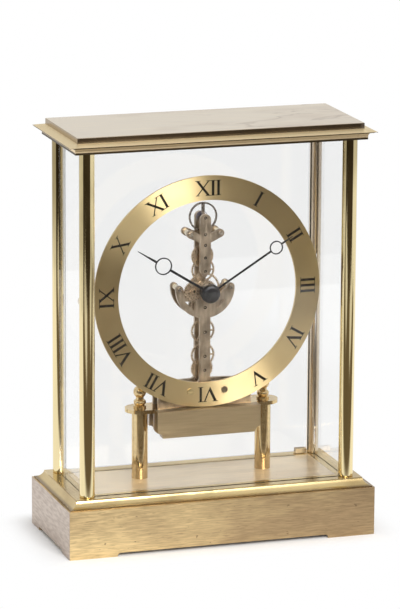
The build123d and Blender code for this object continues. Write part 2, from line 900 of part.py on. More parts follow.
# Rear plate: both outlines in one piece, joined by a strip behind the centre wheel
hairspring_end = hairspring_start + hairspring_turns * hairspring_pitch
hairspring_stud_z = balance_z - hairspring_end
with BuildPart() as rear_plate:
    with BuildSketch(facing_front(rear_face)):
        lower_outline()
        upper_outline()
        with Locations((0, (centre_height + third_z) / 2)):
            Rectangle(upper_stem_width, third_z - centre_height)
        drill([(0, z) for z in front_pivots + upper_pivots], pivot_hole)
        drill([(0, centre_height)], centre_hole)
        drill([(0, barrel_z)], barrel_hole)
        drill([(x, z) for x, z, radius in pillar_places], screw_hole)
        drill([(click_x, click_z)], screw_hole)
        drill([(0, idler_z)], idler_stud_radius)
    extrude(amount=plate_thickness)
    oil_sinks(rear_face, 1, front_pivots + upper_pivots)
save(rear_plate, "rear_plate")

# Pillars: tubes that hold the plates apart, and the two spacers behind the chapter ring
with BuildPart() as frame_pillars:
    for x, z, radius in pillar_places:
        turned(z, ((plate_inner, rear_inner, radius),), x)
        with BuildSketch(facing_front(rear_inner, x, z)):
            Circle(screw_hole)
        extrude(amount=plate_gap, mode=Mode.SUBTRACT)
    for x, z in chapter_screw_places:
        with BuildSketch(facing_front(plate_front, x, z)):
            Circle(chapter_spacer_radius)
            Circle(chapter_screw_radius + running_gap, mode=Mode.SUBTRACT)
        extrude(amount=plate_front - chapter_back)
save(frame_pillars, "frame_pillars")


def slotted_screw(x, z, seat, way, head_radius, shank_radius, shank_length):
    """Cheese-head screw whose head stands off a seat towards way and whose shank goes the other way."""
    head_end = seat + way * screw_head_height
    turned(z, ((min(seat, head_end), max(seat, head_end), head_radius),), x)
    shank_end = seat - way * shank_length
    turned(z, ((min(seat, shank_end), max(seat, shank_end), shank_radius),), x)
    with Locations((x, head_end, z)):
        Box(2 * head_radius, 2 * slot_depth, slot_width, mode=Mode.SUBTRACT)


# Frame screws: one at each end of each pillar, and the screw that the click turns on
click_front = rear_face + ratchet_gap
click_back = click_front + ratchet_thickness
with BuildPart() as frame_screws:
    for x, z, radius in pillar_places:
        slotted_screw(x, z, plate_front, -1, screw_head_radius, screw_radius, plate_thickness + screw_grip)
        slotted_screw(x, z, rear_face, 1, screw_head_radius, screw_radius, plate_thickness + screw_grip)
    click_shank = click_back + running_gap - rear_inner
    slotted_screw(
        click_x, click_z, click_back + running_gap, 1, screw_head_radius, screw_radius, click_shank
    )
save(frame_screws, "frame_screws")

# Front apron: brushed block against the edge of the platform, level with its top and hiding the lower screws
platform_front = middle_y - platform_depth / 2
with BuildPart() as front_apron:
    with BuildSketch(facing_front(platform_front)):
        apron(apron_half_width + apron_overhang, platform_top)
    extrude(amount=apron_thickness)
    with BuildSketch(facing_front(plate_front)):
        apron(apron_half_width, platform_bottom)
    extrude(amount=plate_front - platform_front)
    with BuildSketch(facing_front(plate_front)):
        with Locations(*[(x, z) for x, z in lower_pillars if z < platform_bottom]):
            Circle(screw_head_radius + running_gap)
    extrude(amount=screw_head_height + pane_gap, mode=Mode.SUBTRACT)
save(front_apron, "front_apron")

# Chapter ring: flat brass ring in front of the plates on two spacers
with BuildPart() as chapter_ring:
    with BuildSketch(facing_front(chapter_back)):
        with Locations((0, centre_height)):
            Circle(chapter_outer_radius)
            Circle(chapter_inner_radius, mode=Mode.SUBTRACT)
        drill(chapter_screw_places, chapter_screw_radius + running_gap)
    extrude(amount=chapter_thickness)
save(chapter_ring, "chapter_ring")

with BuildPart() as chapter_ring_screws:
    for x, z in chapter_screw_places:
        grip = plate_inner - chapter_front
        slotted_screw(x, z, chapter_front, -1, chapter_screw_head_radius, chapter_screw_radius, grip)
save(chapter_ring_screws, "chapter_ring_screws")

# Studs: one in the front bridge for the minute wheel, one in the rear plate for the idler
minute_wheel_back = plate_front - motion_gap
minute_wheel_front = minute_wheel_back - motion_wheel_thickness
minute_pinion_front = minute_wheel_front - motion_gap - 2 * motion_wheel_thickness
idler_front = plate_inner + power_layer
stud_head_back = idler_front - running_gap
with BuildPart() as wheel_studs:
    turned(centre_height, ((minute_pinion_front, plate_inner, motion_stud_radius),), -motion_distance)
    turned(
        idler_z,
        (
            (stud_head_back, rear_face, idler_stud_radius),
            (stud_head_back - idler_stud_head, stud_head_back, idler_stud_head_radius),
        ),
    )
save(wheel_studs, "wheel_studs")

# Hairspring stud: a small block on the rear plate that holds the spring's outer end
hairspring_front = plate_inner + hairspring_layer
with BuildPart() as hairspring_stud:
    stud_back_depth = rear_inner - hairspring_front
    with BuildSketch(facing_front(rear_inner, 0, hairspring_stud_z)):
        with Locations((0, -hairspring_strip / 2 - running_gap)):
            Rectangle(
                hairspring_stud_width, hairspring_stud_width, align=(Align.CENTER, Align.MAX)
            )
    extrude(amount=stud_back_depth)
save(hairspring_stud, "hairspring_stud")


def hand(ring_at, ring_radius, length, arm_width, inner_radius):
    """Slim hand that points up: arm, open ring and tapered tip, drawn in the open sketch."""
    inner = ring_radius - hand_ring_stroke
    tip_root = ring_at + inner + hand_ring_stroke / 2
    arm_end = ring_at - inner - hand_ring_stroke / 2
    Polygon(
        (-arm_width / 2, inner_radius),
        (arm_width / 2, inner_radius),
        (arm_width / 2, arm_end),
        (-arm_width / 2, arm_end),
    )
    with Locations((0, ring_at)):
        Circle(ring_radius)
        Circle(inner, mode=Mode.SUBTRACT)
    Polygon(
        (-arm_width / 2, tip_root),
        (arm_width / 2, tip_root),
        (hand_tip_width / 2, length),
        (-hand_tip_width / 2, length),
    )


# Hour hand: a dark drum over the hour pipe with the blade at its front
cannon_back = plate_front - motion_gap
cannon_leaf_front = cannon_back - motion_wheel_thickness - pinion_overhang
hour_wheel_back = minute_wheel_front - motion_gap
hour_wheel_front = hour_wheel_back - motion_wheel_thickness
drum_back = hour_wheel_front - hand_gap
hour_bore = cannon_radius + running_gap
with BuildPart() as hour_hand:
    turned(centre_height, ((hour_drum_front, drum_back, hour_drum_radius),))
    with BuildSketch(facing_front(hour_blade_front + hand_thickness, 0, centre_height, hour_angle)):
        hand(hour_ring_at, hour_ring_radius, hour_length, hour_arm_width, hour_pipe_radius)
    extrude(amount=hand_thickness)
    with BuildSketch(facing_front(drum_back, 0, centre_height)):
        Circle(hour_pipe_radius)
    extrude(amount=drum_back - hour_drum_front, mode=Mode.SUBTRACT)
save(hour_hand, "hour_hand")

with BuildPart() as hour_wheel:
    with BuildSketch(facing_front(hour_wheel_back, 0, centre_height)):
        Polygon(*tooth_points(hour_teeth, hour_module, gap_at(left_angle, hour_teeth)))
    extrude(amount=motion_wheel_thickness)
    turned(centre_height, ((hour_drum_front, hour_wheel_back, hour_pipe_radius),))
    with BuildSketch(facing_front(hour_wheel_back, 0, centre_height)):
        Circle(hour_bore)
    extrude(amount=hour_wheel_back - hour_drum_front, mode=Mode.SUBTRACT)
save(hour_wheel, "hour_wheel")

# Minute wheel with its pinion, turning on the stud in the lug
with BuildPart() as minute_wheel:
    with BuildSketch(facing_front(minute_wheel_back, -motion_distance, centre_height)):
        Polygon(*tooth_points(minute_wheel_teeth, minute_module, gap_at(0, minute_wheel_teeth)))
    extrude(amount=motion_wheel_thickness)
    with BuildSketch(facing_front(minute_wheel_front, -motion_distance, centre_height)):
        Polygon(*tooth_points(minute_pinion_teeth, hour_module, 0))
    extrude(amount=minute_wheel_front - minute_pinion_front)
    with BuildSketch(facing_front(minute_wheel_back, -motion_distance, centre_height)):
        Circle(motion_stud_radius + running_gap)
    extrude(amount=minute_wheel_back - minute_pinion_front, mode=Mode.SUBTRACT)
save(minute_wheel, "minute_wheel")

# Cannon pinion: tube on the centre arbor that drives the minute wheel and carries the minute hand
hub_back = hour_drum_front - hand_gap
with BuildPart() as cannon_pinion:
    with BuildSketch(facing_front(cannon_back, 0, centre_height)):
        Polygon(*tooth_points(cannon_teeth, minute_module, left_angle))
    extrude(amount=cannon_back - cannon_leaf_front)
    turned(centre_height, ((minute_blade_front, cannon_back, cannon_radius),))
    with BuildSketch(facing_front(cannon_back, 0, centre_height)):
        Circle(centre_arbor_radius)
    extrude(amount=cannon_back - minute_blade_front, mode=Mode.SUBTRACT)
save(cannon_pinion, "cannon_pinion")

# Minute hand: slim blade under a domed hub
with BuildPart() as minute_hand:
    turned(centre_height, ((minute_hub_front, hub_back, minute_hub_radius),))
    dome = minute_hand.faces().sort_by(Axis.Y)[0]
    fillet(dome.edges(), hub_back - minute_hub_front - minute_hub_edge)
    with BuildSketch(facing_front(minute_blade_front + hand_thickness, 0, centre_height, minute_angle)):
        hand(minute_ring_at, minute_ring_radius, minute_length, minute_arm_width, cannon_radius)
    extrude(amount=hand_thickness)
    with BuildSketch(facing_front(hub_back, 0, centre_height)):
        Circle(cannon_radius)
    extrude(amount=hub_back - minute_blade_front, mode=Mode.SUBTRACT)
save(minute_hand, "minute_hand")

# Centre arbor: carries the centre wheel, the cannon pinion and the setting knob
knob_front = rear_face + setting_knob_gap
knob_back = knob_front + setting_knob_depth
with BuildPart() as centre_arbor:
    turned(centre_height, ((minute_blade_front, knob_back, centre_arbor_radius),))
    pinion(
        centre_height,
        transfer_layer,
        wheel_thickness,
        centre_pinion_teeth,
        transfer_module,
        gap_at(down_angle, centre_pinion_teeth),
    )
save(centre_arbor, "centre_arbor")

with BuildPart() as setting_knob:
    with BuildSketch(facing_front(knob_back, 0, centre_height)):
        Polygon(*tooth_points(knurl_count, 2 * setting_knob_radius / knurl_count, up_angle))
        Circle(centre_arbor_radius, mode=Mode.SUBTRACT)
    extrude(amount=setting_knob_depth)
save(setting_knob, "setting_knob")


def plain_wheel(name, z, layer, teeth, module, bore, spokes=spoke_count):
    """Wheel pressed on an arbor, with a tooth at the top."""
    with BuildPart() as wheel:
        with BuildSketch(facing_front(plate_inner + layer + wheel_thickness, 0, z)):
            wheel_face(teeth, module, up_angle, spokes)
            Circle(bore, mode=Mode.SUBTRACT)
        extrude(amount=wheel_thickness)
    save(wheel, name)


def pinion_arbor(name, z, layer, thickness, teeth, module):
    """Arbor with its pinion, whose gap faces the wheel below."""
    with BuildPart() as shaft:
        turned(z, arbor_sections())
        pinion(z, layer, thickness, teeth, module, gap_at(down_angle, teeth))
    save(shaft, name)


# Fast wheels above the centre, each pressed on its pinion arbor
plain_wheel("centre_wheel", centre_height, centre_layer, centre_teeth, centre_module, centre_arbor_radius)
plain_wheel("third_wheel", third_z, third_layer, third_teeth, third_module, arbor_radius)
plain_wheel("fourth_wheel", fourth_z, fourth_layer, fourth_teeth, fourth_module, arbor_radius, spokes=0)
pinion_arbor("third_arbor", third_z, centre_layer, wheel_thickness, third_pinion_teeth, centre_module)
pinion_arbor("fourth_arbor", fourth_z, third_layer, wheel_thickness, fourth_pinion_teeth, third_module)
pinion_arbor("escape_arbor", escape_z, fourth_layer, wheel_thickness, escape_pinion_teeth, fourth_module)


def train_wheel(name, z, layer, teeth, module, tooth_angle, front_neck=0, leaves=None, spokes=spoke_count):
    """Wheel, arbor and, where leaves gives one, a pinion, turned in one piece."""
    with BuildPart() as wheel:
        with BuildSketch(facing_front(plate_inner + layer + wheel_thickness, 0, z)):
            wheel_face(teeth, module, tooth_angle, spokes)
        extrude(amount=wheel_thickness)
        turned(z, arbor_sections(front_neck))
        if leaves:
            pinion(z, *leaves)
    save(wheel, name)


# Slow wheels below the centre; the neck of the upper transfer clears the centre wheel
train_wheel(
    "upper_transfer_wheel",
    upper_transfer_z,
    transfer_layer,
    upper_transfer_teeth,
    transfer_module,
    down_angle,
    centre_layer + wheel_thickness,
)
train_wheel(
    "lower_transfer_wheel",
    lower_transfer_z,
    transfer_layer,
    lower_transfer_teeth,
    transfer_module,
    gap_at(down_angle, lower_transfer_teeth),
)
train_wheel(
    "second_wheel",
    second_z,
    transfer_layer,
    second_teeth,
    transfer_module,
    up_angle,
    leaves=(
        first_layer,
        wheel_thickness,
        second_pinion_teeth,
        first_module,
        gap_at(down_angle, second_pinion_teeth),
    ),
)
train_wheel(
    "first_wheel",
    first_z,
    first_layer,
    first_teeth,
    first_module,
    up_angle,
    leaves=(power_layer, power_wheel_thickness, first_pinion_teeth, power_module, down_angle),
    spokes=0,
)

# Idler between the great wheel and the first arbor, on its stud
with BuildPart() as idler_wheel:
    with BuildSketch(facing_front(idler_front + power_wheel_thickness, 0, idler_z)):
        Polygon(*tooth_points(idler_teeth, power_module, gap_at(down_angle, idler_teeth)))
        Circle(idler_stud_radius + running_gap, mode=Mode.SUBTRACT)
    extrude(amount=power_wheel_thickness)
save(idler_wheel, "idler_wheel")

# Barrel: toothed base plate and drum wall in one piece, closed in front by a cover
great_front = plate_inner + power_layer
great_back = great_front + power_wheel_thickness
drum_front = great_front - barrel_depth
cover_back = drum_front + barrel_cover_thickness
barrel_inside = barrel_radius - barrel_wall
with BuildPart() as barrel:
    with BuildSketch(facing_front(great_back, 0, barrel_z)):
        Polygon(*tooth_points(great_teeth, power_module, up_angle))
        Circle(barrel_hole, mode=Mode.SUBTRACT)
    extrude(amount=power_wheel_thickness)
    with BuildSketch(facing_front(great_front, 0, barrel_z)):
        Circle(barrel_radius)
        Circle(barrel_inside, mode=Mode.SUBTRACT)
    extrude(amount=barrel_depth)
save(barrel, "barrel")

with BuildPart() as barrel_cover:
    with BuildSketch(facing_front(cover_back, 0, barrel_z)):
        Circle(barrel_inside)
        Circle(barrel_hole, mode=Mode.SUBTRACT)
    extrude(amount=barrel_cover_thickness)
save(barrel_cover, "barrel_cover")

spring_back = (great_front + cover_back + mainspring_height) / 2
with BuildPart() as mainspring:
    with BuildSketch(facing_front(spring_back, 0, barrel_z)):
        spiral_band(mainspring_start, mainspring_pitch, mainspring_turns, mainspring_strip)
        spring_end = mainspring_start + mainspring_turns * mainspring_pitch
        with Locations((spring_end, 0)):
            Rectangle(
                barrel_inside - running_gap - spring_end,
                mainspring_hook_width,
                align=(Align.MIN, Align.CENTER),
            )
    extrude(amount=mainspring_height)
save(mainspring, "mainspring")

# Winding work: barrel arbor, ratchet wheel and knob turn together behind the rear plate
winding_front = click_back + ratchet_gap
winding_back = winding_front + winding_knob_depth
core_front = spring_back - mainspring_height
with BuildPart() as barrel_arbor:
    turned(
        barrel_z,
        (
            (plate_front + oil_sink_depth, winding_back, barrel_arbor_radius),
            (core_front, spring_back, barrel_core_radius),
        ),
    )
save(barrel_arbor, "barrel_arbor")

with BuildPart() as ratchet_wheel:
    ratchet_root = ratchet_radius - ratchet_tooth_depth
    saw = []
    for tooth in range(ratchet_teeth):
        angle = 2 * math.pi * tooth / ratchet_teeth
        saw.append((ratchet_root * math.cos(angle), ratchet_root * math.sin(angle)))
        saw.append((ratchet_radius * math.cos(angle), ratchet_radius * math.sin(angle)))
    with BuildSketch(facing_front(click_back, 0, barrel_z)):
        Polygon(*saw)
        Circle(barrel_arbor_radius, mode=Mode.SUBTRACT)
    extrude(amount=ratchet_thickness)
save(ratchet_wheel, "ratchet_wheel")

with BuildPart() as winding_knob:
    with BuildSketch(facing_front(winding_back, 0, barrel_z)):
        Polygon(*tooth_points(knurl_count, 2 * winding_knob_radius / knurl_count, up_angle))
        Circle(barrel_arbor_radius, mode=Mode.SUBTRACT)
    extrude(amount=winding_knob_depth)
save(winding_knob, "winding_knob")

# Click: pawl on its screw, with its nose just off the ratchet's tips
nose_reach = click_distance - ratchet_radius - drop_in_gap
with BuildPart() as click:
    with BuildSketch(facing_front(click_back, click_x, click_z, click_angle)):
        Circle(click_radius)
        with Locations((-nose_reach / 2, 0)):
            Rectangle(nose_reach, click_nose_width)
        Circle(screw_hole, mode=Mode.SUBTRACT)
    extrude(amount=ratchet_thickness)
save(click, "click")

# Escape wheel: pointed teeth that lean into the turn
escape_back = plate_inner + escape_layer + wheel_thickness
with BuildPart() as escape_wheel:
    points = []
    for tooth in range(escape_teeth):
        start = 360 * tooth / escape_teeth
        for radius, lean in (
            (escape_root_radius, 0),
            (escape_radius, escape_tooth_lean),
            (escape_radius, escape_tooth_lean + escape_tooth_tip),
            (escape_root_radius, escape_tooth_root),
        ):
            angle = math.radians(start + lean)
            points.append((radius * math.cos(angle), radius * math.sin(angle)))
    with BuildSketch(facing_front(escape_back, 0, escape_z)):
        Polygon(*points)
        Circle(escape_root_radius - rim_width, mode=Mode.SUBTRACT)
        Circle(wheel_hub_radius - rim_width / 2)
        with PolarLocations(escape_root_radius / 2, spoke_count):
            Rectangle(escape_root_radius, spoke_width / 2)
        Circle(arbor_radius, mode=Mode.SUBTRACT)
    extrude(amount=wheel_thickness)
save(escape_wheel, "escape_wheel")

# Pallet fork: two pallet arms over the escape wheel and a lever up to the balance roller
pallet_reach = escape_radius + pallet_gap + pallet_arm_width / 2
pallet_x = pallet_reach * math.sin(math.radians(pallet_angle))
pallet_drop = pallet_distance - pallet_reach * math.cos(math.radians(pallet_angle))
fork_top = balance_distance - roller_pin_orbit - roller_pin_radius - fork_gap
with BuildPart() as pallet_fork:
    with BuildSketch(facing_front(escape_back, 0, pallet_z)):
        for side in (-1, 1):
            SlotCenterPoint(
                (side * pallet_x / 2, -pallet_drop / 2), (side * pallet_x, -pallet_drop), pallet_arm_width
            )
        Rectangle(lever_width, fork_top, align=(Align.CENTER, Align.MIN))
        with Locations((0, fork_top)):
            Rectangle(fork_width, fork_length, align=(Align.CENTER, Align.MAX))
            Rectangle(
                fork_notch_width, fork_notch_depth, align=(Align.CENTER, Align.MAX), mode=Mode.SUBTRACT
            )
    extrude(amount=wheel_thickness)
    turned(pallet_z, arbor_sections())
save(pallet_fork, "pallet_fork")

# Balance: plain rim with one straight arm, on a staff that carries the roller and the hairspring
balance_front = plate_inner + balance_layer
balance_back = balance_front + balance_thickness
arm_back = (balance_front + balance_back + balance_arm_thickness) / 2
with BuildPart() as balance_wheel:
    with BuildSketch(facing_front(balance_back, 0, balance_z)):
        Circle(balance_radius)
        Circle(balance_radius - balance_rim_width, mode=Mode.SUBTRACT)
    extrude(amount=balance_thickness)
    with BuildSketch(facing_front(arm_back, 0, balance_z)):
        Rectangle(balance_arm_width, 2 * balance_radius - balance_rim_width)
        Circle(balance_hub_radius)
    extrude(amount=balance_arm_thickness)
    with BuildSketch(facing_front(balance_back, 0, balance_z)):
        Circle(balance_staff_radius)
    extrude(amount=balance_thickness, mode=Mode.SUBTRACT)
save(balance_wheel, "balance_wheel")

roller_front = escape_back + drop_in_gap
pin_front = plate_inner + escape_layer
hairspring_back = hairspring_front + hairspring_height
with BuildPart() as balance_staff:
    turned(balance_z, arbor_sections())
    turned(
        balance_z,
        (
            (balance_front, balance_back, balance_staff_radius),
            (roller_front, roller_front + roller_thickness, roller_radius),
            (hairspring_front, hairspring_back, collet_radius),
        ),
    )
    turned(balance_z - roller_pin_orbit, ((pin_front, roller_front, roller_pin_radius),))
save(balance_staff, "balance_staff")

with BuildPart() as hairspring:
    with BuildSketch(facing_front(hairspring_back, 0, balance_z, down_angle)):
        spiral_band(hairspring_start, hairspring_pitch, hairspring_turns, hairspring_strip)
    extrude(amount=hairspring_height)
save(hairspring, "hairspring")
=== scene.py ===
import json
import math

import bmesh
import bpy
from mathutils import Matrix, Vector


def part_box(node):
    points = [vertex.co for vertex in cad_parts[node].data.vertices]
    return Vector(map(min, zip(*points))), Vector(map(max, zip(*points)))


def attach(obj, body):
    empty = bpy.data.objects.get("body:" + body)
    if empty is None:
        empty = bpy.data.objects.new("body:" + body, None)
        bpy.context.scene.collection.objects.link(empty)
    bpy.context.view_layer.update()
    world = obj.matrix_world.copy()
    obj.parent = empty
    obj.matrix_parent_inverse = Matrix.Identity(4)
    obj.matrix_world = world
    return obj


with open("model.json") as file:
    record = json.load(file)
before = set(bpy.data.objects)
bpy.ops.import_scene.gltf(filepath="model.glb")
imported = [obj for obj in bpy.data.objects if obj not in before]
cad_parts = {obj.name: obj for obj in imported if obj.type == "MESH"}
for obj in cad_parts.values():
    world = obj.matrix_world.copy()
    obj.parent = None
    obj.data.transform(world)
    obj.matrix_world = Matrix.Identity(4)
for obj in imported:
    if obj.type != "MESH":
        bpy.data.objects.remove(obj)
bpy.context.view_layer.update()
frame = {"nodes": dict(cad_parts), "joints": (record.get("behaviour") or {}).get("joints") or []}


# Plinth: a box of brass sheet, soldered at the corners and brushed along its length.
# Its lacquer has aged, so the gold goes brown in patches, and painted shade deepens the brown
# towards the right end and the top.
# The two ends are a mottled grey, partly worn and partly a painted reflection of the pale room.
def add_node(tree, kind, inputs=None, **settings):
    """Adds a node, links the inputs that are sockets and sets the others."""
    node = tree.nodes.new(kind)
    for name, value in settings.items():
        setattr(node, name, value)
    for name, value in (inputs or {}).items():
        if isinstance(value, bpy.types.NodeSocket):
            tree.links.new(value, node.inputs[name])
        else:
            node.inputs[name].default_value = value
    return node


def span(tree, value, low, high, start=0.0, end=1.0):
    """A value eased from start to end while the given one goes from low to high."""
    inputs = {"Value": value, "From Min": low, "From Max": high, "To Min": start, "To Max": end}
    node = add_node(tree, "ShaderNodeMapRange", inputs, interpolation_type="SMOOTHSTEP")
    return node.outputs["Result"]


def on_piece(tree):
    return add_node(tree, "ShaderNodeTexCoord").outputs["Object"]


def cloud(tree, per_metre, detail=3.0, warp=0.0):
    """Noise with its own number of waves per metre along each axis."""
    inputs = {"Vector": on_piece(tree), "Scale": per_metre}
    stretched = add_node(tree, "ShaderNodeMapping", inputs).outputs["Vector"]
    inputs = {"Vector": stretched, "Scale": 1.0, "Detail": detail, "Distortion": warp}
    return add_node(tree, "ShaderNodeTexNoise", inputs).outputs["Fac"]


def calculate(tree, operation, *values):
    node = add_node(tree, "ShaderNodeMath", operation=operation)
    for socket, value in zip(node.inputs, values):
        if isinstance(value, bpy.types.NodeSocket):
            tree.links.new(value, socket)
        else:
            socket.default_value = value
    return node.outputs["Value"]


def along(tree, vector, direction):
    """How far a point lies along a direction."""
    node = add_node(tree, "ShaderNodeVectorMath", operation="DOT_PRODUCT")
    tree.links.new(vector, node.inputs[0])
    node.inputs[1].default_value = direction
    return node.outputs["Value"]


def tinted(tree, share, first, second, blend="MIX"):
    """Two colours mixed by a share, or the second laid on the first by another blend."""
    node = add_node(tree, "ShaderNodeMix", data_type="RGBA", blend_type=blend)
    for socket, value in ((node.inputs[0], share), (node.inputs[6], first), (node.inputs[7], second)):
        if isinstance(value, bpy.types.NodeSocket):
            tree.links.new(value, socket)
        elif isinstance(value, tuple):
            socket.default_value = (*value, 1.0)
        else:
            socket.default_value = value
    return node.outputs[2]


brushing_range = (0.25, 0.75)
coat_roughness = 0.12


def metal(name, clean, stain_and_shade, patches=(60, 60, 60), between=(0.4, 0.75), drift=(0, 0, 0),
          grain=(900, 900, 900), lines=0.08, rough=(0.2, 0.3), depth=0.0, lacquer=0.0, stretch=0.0,
          across=None, metallic=1.0):
    """A finish of two colours in patches, with brushing that shades them and sets the roughness.
    patches and grain are waves per metre, between is where the patches begin and end, drift makes
    them grow across the piece, which some finishes use for painted shade, depth is a bump in metres, across
    the way that highlights spread."""
    finish = bpy.data.materials.new(name)
    finish.use_nodes = True
    tree = finish.node_tree
    shader = tree.nodes["Principled BSDF"]
    tarnish_and_shade = calculate(tree, "ADD", cloud(tree, patches, detail=5.0), along(tree, on_piece(tree), drift))
    colour = tinted(tree, span(tree, tarnish_and_shade, *between), clean, stain_and_shade)
    brushing = cloud(tree, grain)
    shade = span(tree, brushing, *brushing_range, 1.0 - lines, 1.0 + lines)
    tree.links.new(tinted(tree, 1.0, colour, shade, "MULTIPLY"), shader.inputs["Base Color"])
    tree.links.new(span(tree, brushing, *brushing_range, *rough), shader.inputs["Roughness"])
    shader.inputs["Metallic"].default_value = metallic
    if depth:
        bump = add_node(tree, "ShaderNodeBump", {"Height": brushing, "Distance": depth, "Strength": 1.0})
        tree.links.new(bump.outputs["Normal"], shader.inputs["Normal"])
    if lacquer:
        shader.inputs["Coat Weight"].default_value = lacquer
        shader.inputs["Coat Roughness"].default_value = coat_roughness
    if across:
        shader.inputs["Anisotropic"].default_value = stretch
        way = add_node(tree, "ShaderNodeCombineXYZ", dict(zip("XYZ", across)))
        tree.links.new(way.outputs["Vector"], shader.inputs["Tangent"])
    return finish


def overlay(finish, share, colour):
    """Lays a colour over a finish, by a share worked out in the finish's own nodes."""
    tree = finish.node_tree
    socket = tree.nodes["Principled BSDF"].inputs["Base Color"]
    tree.links.new(tinted(tree, share, socket.links[0].from_socket, colour), socket)


def stain(finish, colour, waves, between, strength, detail=2.0):
    """Lays stains of a colour over a finish. waves are per metre along each axis, between is where in
    the noise the stains begin and end."""
    tree = finish.node_tree
    overlay(finish, span(tree, cloud(tree, waves, detail), *between, 0.0, strength), colour)


oblique, square_on = 0.5, 0.9


def facing(tree, direction):
    """1 where the surface faces along a direction, either way, and 0 where it stands across it."""
    normal = add_node(tree, "ShaderNodeTexCoord").outputs["Normal"]
    return span(tree, calculate(tree, "ABSOLUTE", along(tree, normal, direction)), oblique, square_on)


def dress(finish, *names):
    """Gives a finish to solids whose shape stays as it is."""
    for name in names:
        for slot in frame["nodes"][name].material_slots:
            slot.material = finish


upright, lengthwise = (0, 0, 1), (1, 0, 0)
across_grain = (0, 1, 1)
aged_gold = (0.74, 0.555, 0.285)
tarnish_and_shade_brown = (0.40, 0.277, 0.148)
# The brown patches are tarnish, and the drift paints shade that deepens them towards the right end and the
# top.
brushed_brass = metal("brushed_brass", aged_gold, tarnish_and_shade_brown, patches=(20, 20, 50), between=(0.22, 0.80),
                      drift=(2.0, 0, 4.0), grain=(130, 130, 2000), lines=0.16, rough=(0.32, 0.42),
                      depth=2.0e-6, lacquer=0.2, stretch=0.6, across=across_grain)
scratch_brown = (0.22, 0.15, 0.08)
stain(brushed_brass, scratch_brown, waves=(230, 230, 1800), between=(0.58, 0.74), strength=0.34)
end_grey = (0.60, 0.50, 0.415)
end_rust = (0.42, 0.325, 0.255)
mottle_waves, mottle_range = (170, 170, 1000), (0.30, 0.70)
plinth_tree = brushed_brass.node_tree
mottle = span(plinth_tree, cloud(plinth_tree, mottle_waves, detail=4.0), *mottle_range)
# Painted reflection mixed with wear: the faces that look along the plinth get a mottled grey.
overlay(brushed_brass, facing(plinth_tree, lengthwise), tinted(plinth_tree, mottle, end_grey, end_rust))
speck_brown = (0.16, 0.105, 0.06)
stain(brushed_brass, speck_brown, waves=(240, 240, 420), between=(0.70, 0.76), strength=0.7, detail=3.0)
dress(brushed_brass, "plinth")

# Underplate, tie rods and post screws: plated steel, out of sight inside the plinth.
# The rods run up through the columns and clamp the whole case together.
plated_grey = (0.52, 0.51, 0.49)
plated_dull = (0.36, 0.34, 0.31)
plated_steel = metal("plated_steel", plated_grey, plated_dull, patches=(90, 90, 90), between=(0.4, 0.7),
                     grain=(400, 400, 400), rough=(0.3, 0.5))
dress(plated_steel, "underplate", "tie_rods", "post_screws")

# Base moulding: a drawn brass cove, mitred at the corners and polished on the wheel.
# It sits on the plinth and carries the four columns.
drawn_gold = (0.72, 0.56, 0.285)
drawn_brown = (0.50, 0.365, 0.17)
drawn_brass = metal("drawn_brass", drawn_gold, drawn_brown, patches=(24, 24, 60), between=(0.4, 0.7),
                    grain=(20, 20, 20), lines=0.03, rough=(0.18, 0.25))
# Painted shade: the foot of the moulding is darkened where it meets the plinth.
seam_shade_brown = (0.17, 0.115, 0.06)
seam_shade_height, seam_shade_strength = 0.0007, 0.85
plinth_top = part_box("plinth")[1].z
seam_shade_full, seam_shade_end = plinth_top + seam_shade_height / 2, plinth_top + 2 * seam_shade_height
moulding_tree = drawn_brass.node_tree
height = along(moulding_tree, on_piece(moulding_tree), upright)
overlay(drawn_brass, span(moulding_tree, height, seam_shade_full, seam_shade_end, seam_shade_strength, 0.0), seam_shade_brown)
dress(drawn_brass, "base_moulding")

# Floor plate: a brass sheet inside the case, brushed along its length and lacquered pale.
# It drops into the moulding, and the two posts stand on it.
floor_gold = (0.80, 0.665, 0.47)
floor_brown = (0.66, 0.52, 0.345)
floor_brass = metal("floor_brass", floor_gold, floor_brown, patches=(20, 45, 20), grain=(60, 900, 60),
                    lines=0.10, rough=(0.28, 0.42), depth=1.0e-5, lacquer=0.6, stretch=0.6,
                    across=across_grain)
stain(floor_brass, speck_brown, waves=(260, 260, 260), between=(0.73, 0.78), strength=0.6)
dress(floor_brass, "floor_plate")

# Columns: four round brass bars, turned and polished, each grooved for the edges of two panes.
# A tie rod inside each one holds it between the moulding and the cornice. They are painted darker towards
# the top, a painted reflection of the dark room, and the rear right one has dulled all over.
bright_gold = (0.90, 0.76, 0.44)
dark_reflection_gold = (0.40, 0.32, 0.165)
# Painted reflection: the drift darkens the columns towards their tops, standing for the dark room they
# mirror.
column_brass = metal("column_brass", bright_gold, dark_reflection_gold, patches=(30, 30, 8), between=(0.80, 1.0),
                     drift=(0, 0, 2.1), grain=(250, 250, 25), lines=0.05, rough=(0.05, 0.11))
dress(column_brass, "front_left_column", "front_right_column", "rear_left_column")
tan_gold = (0.88, 0.755, 0.575)
tan_brown = (0.60, 0.50, 0.385)
dulled_brass = metal("dulled_brass", tan_gold, tan_brown, patches=(30, 30, 12), between=(0.45, 0.85),
                     drift=(0, 0, 1.0), grain=(250, 250, 25), lines=0.06, rough=(0.18, 0.26))
dress(dulled_brass, "rear_right_column")

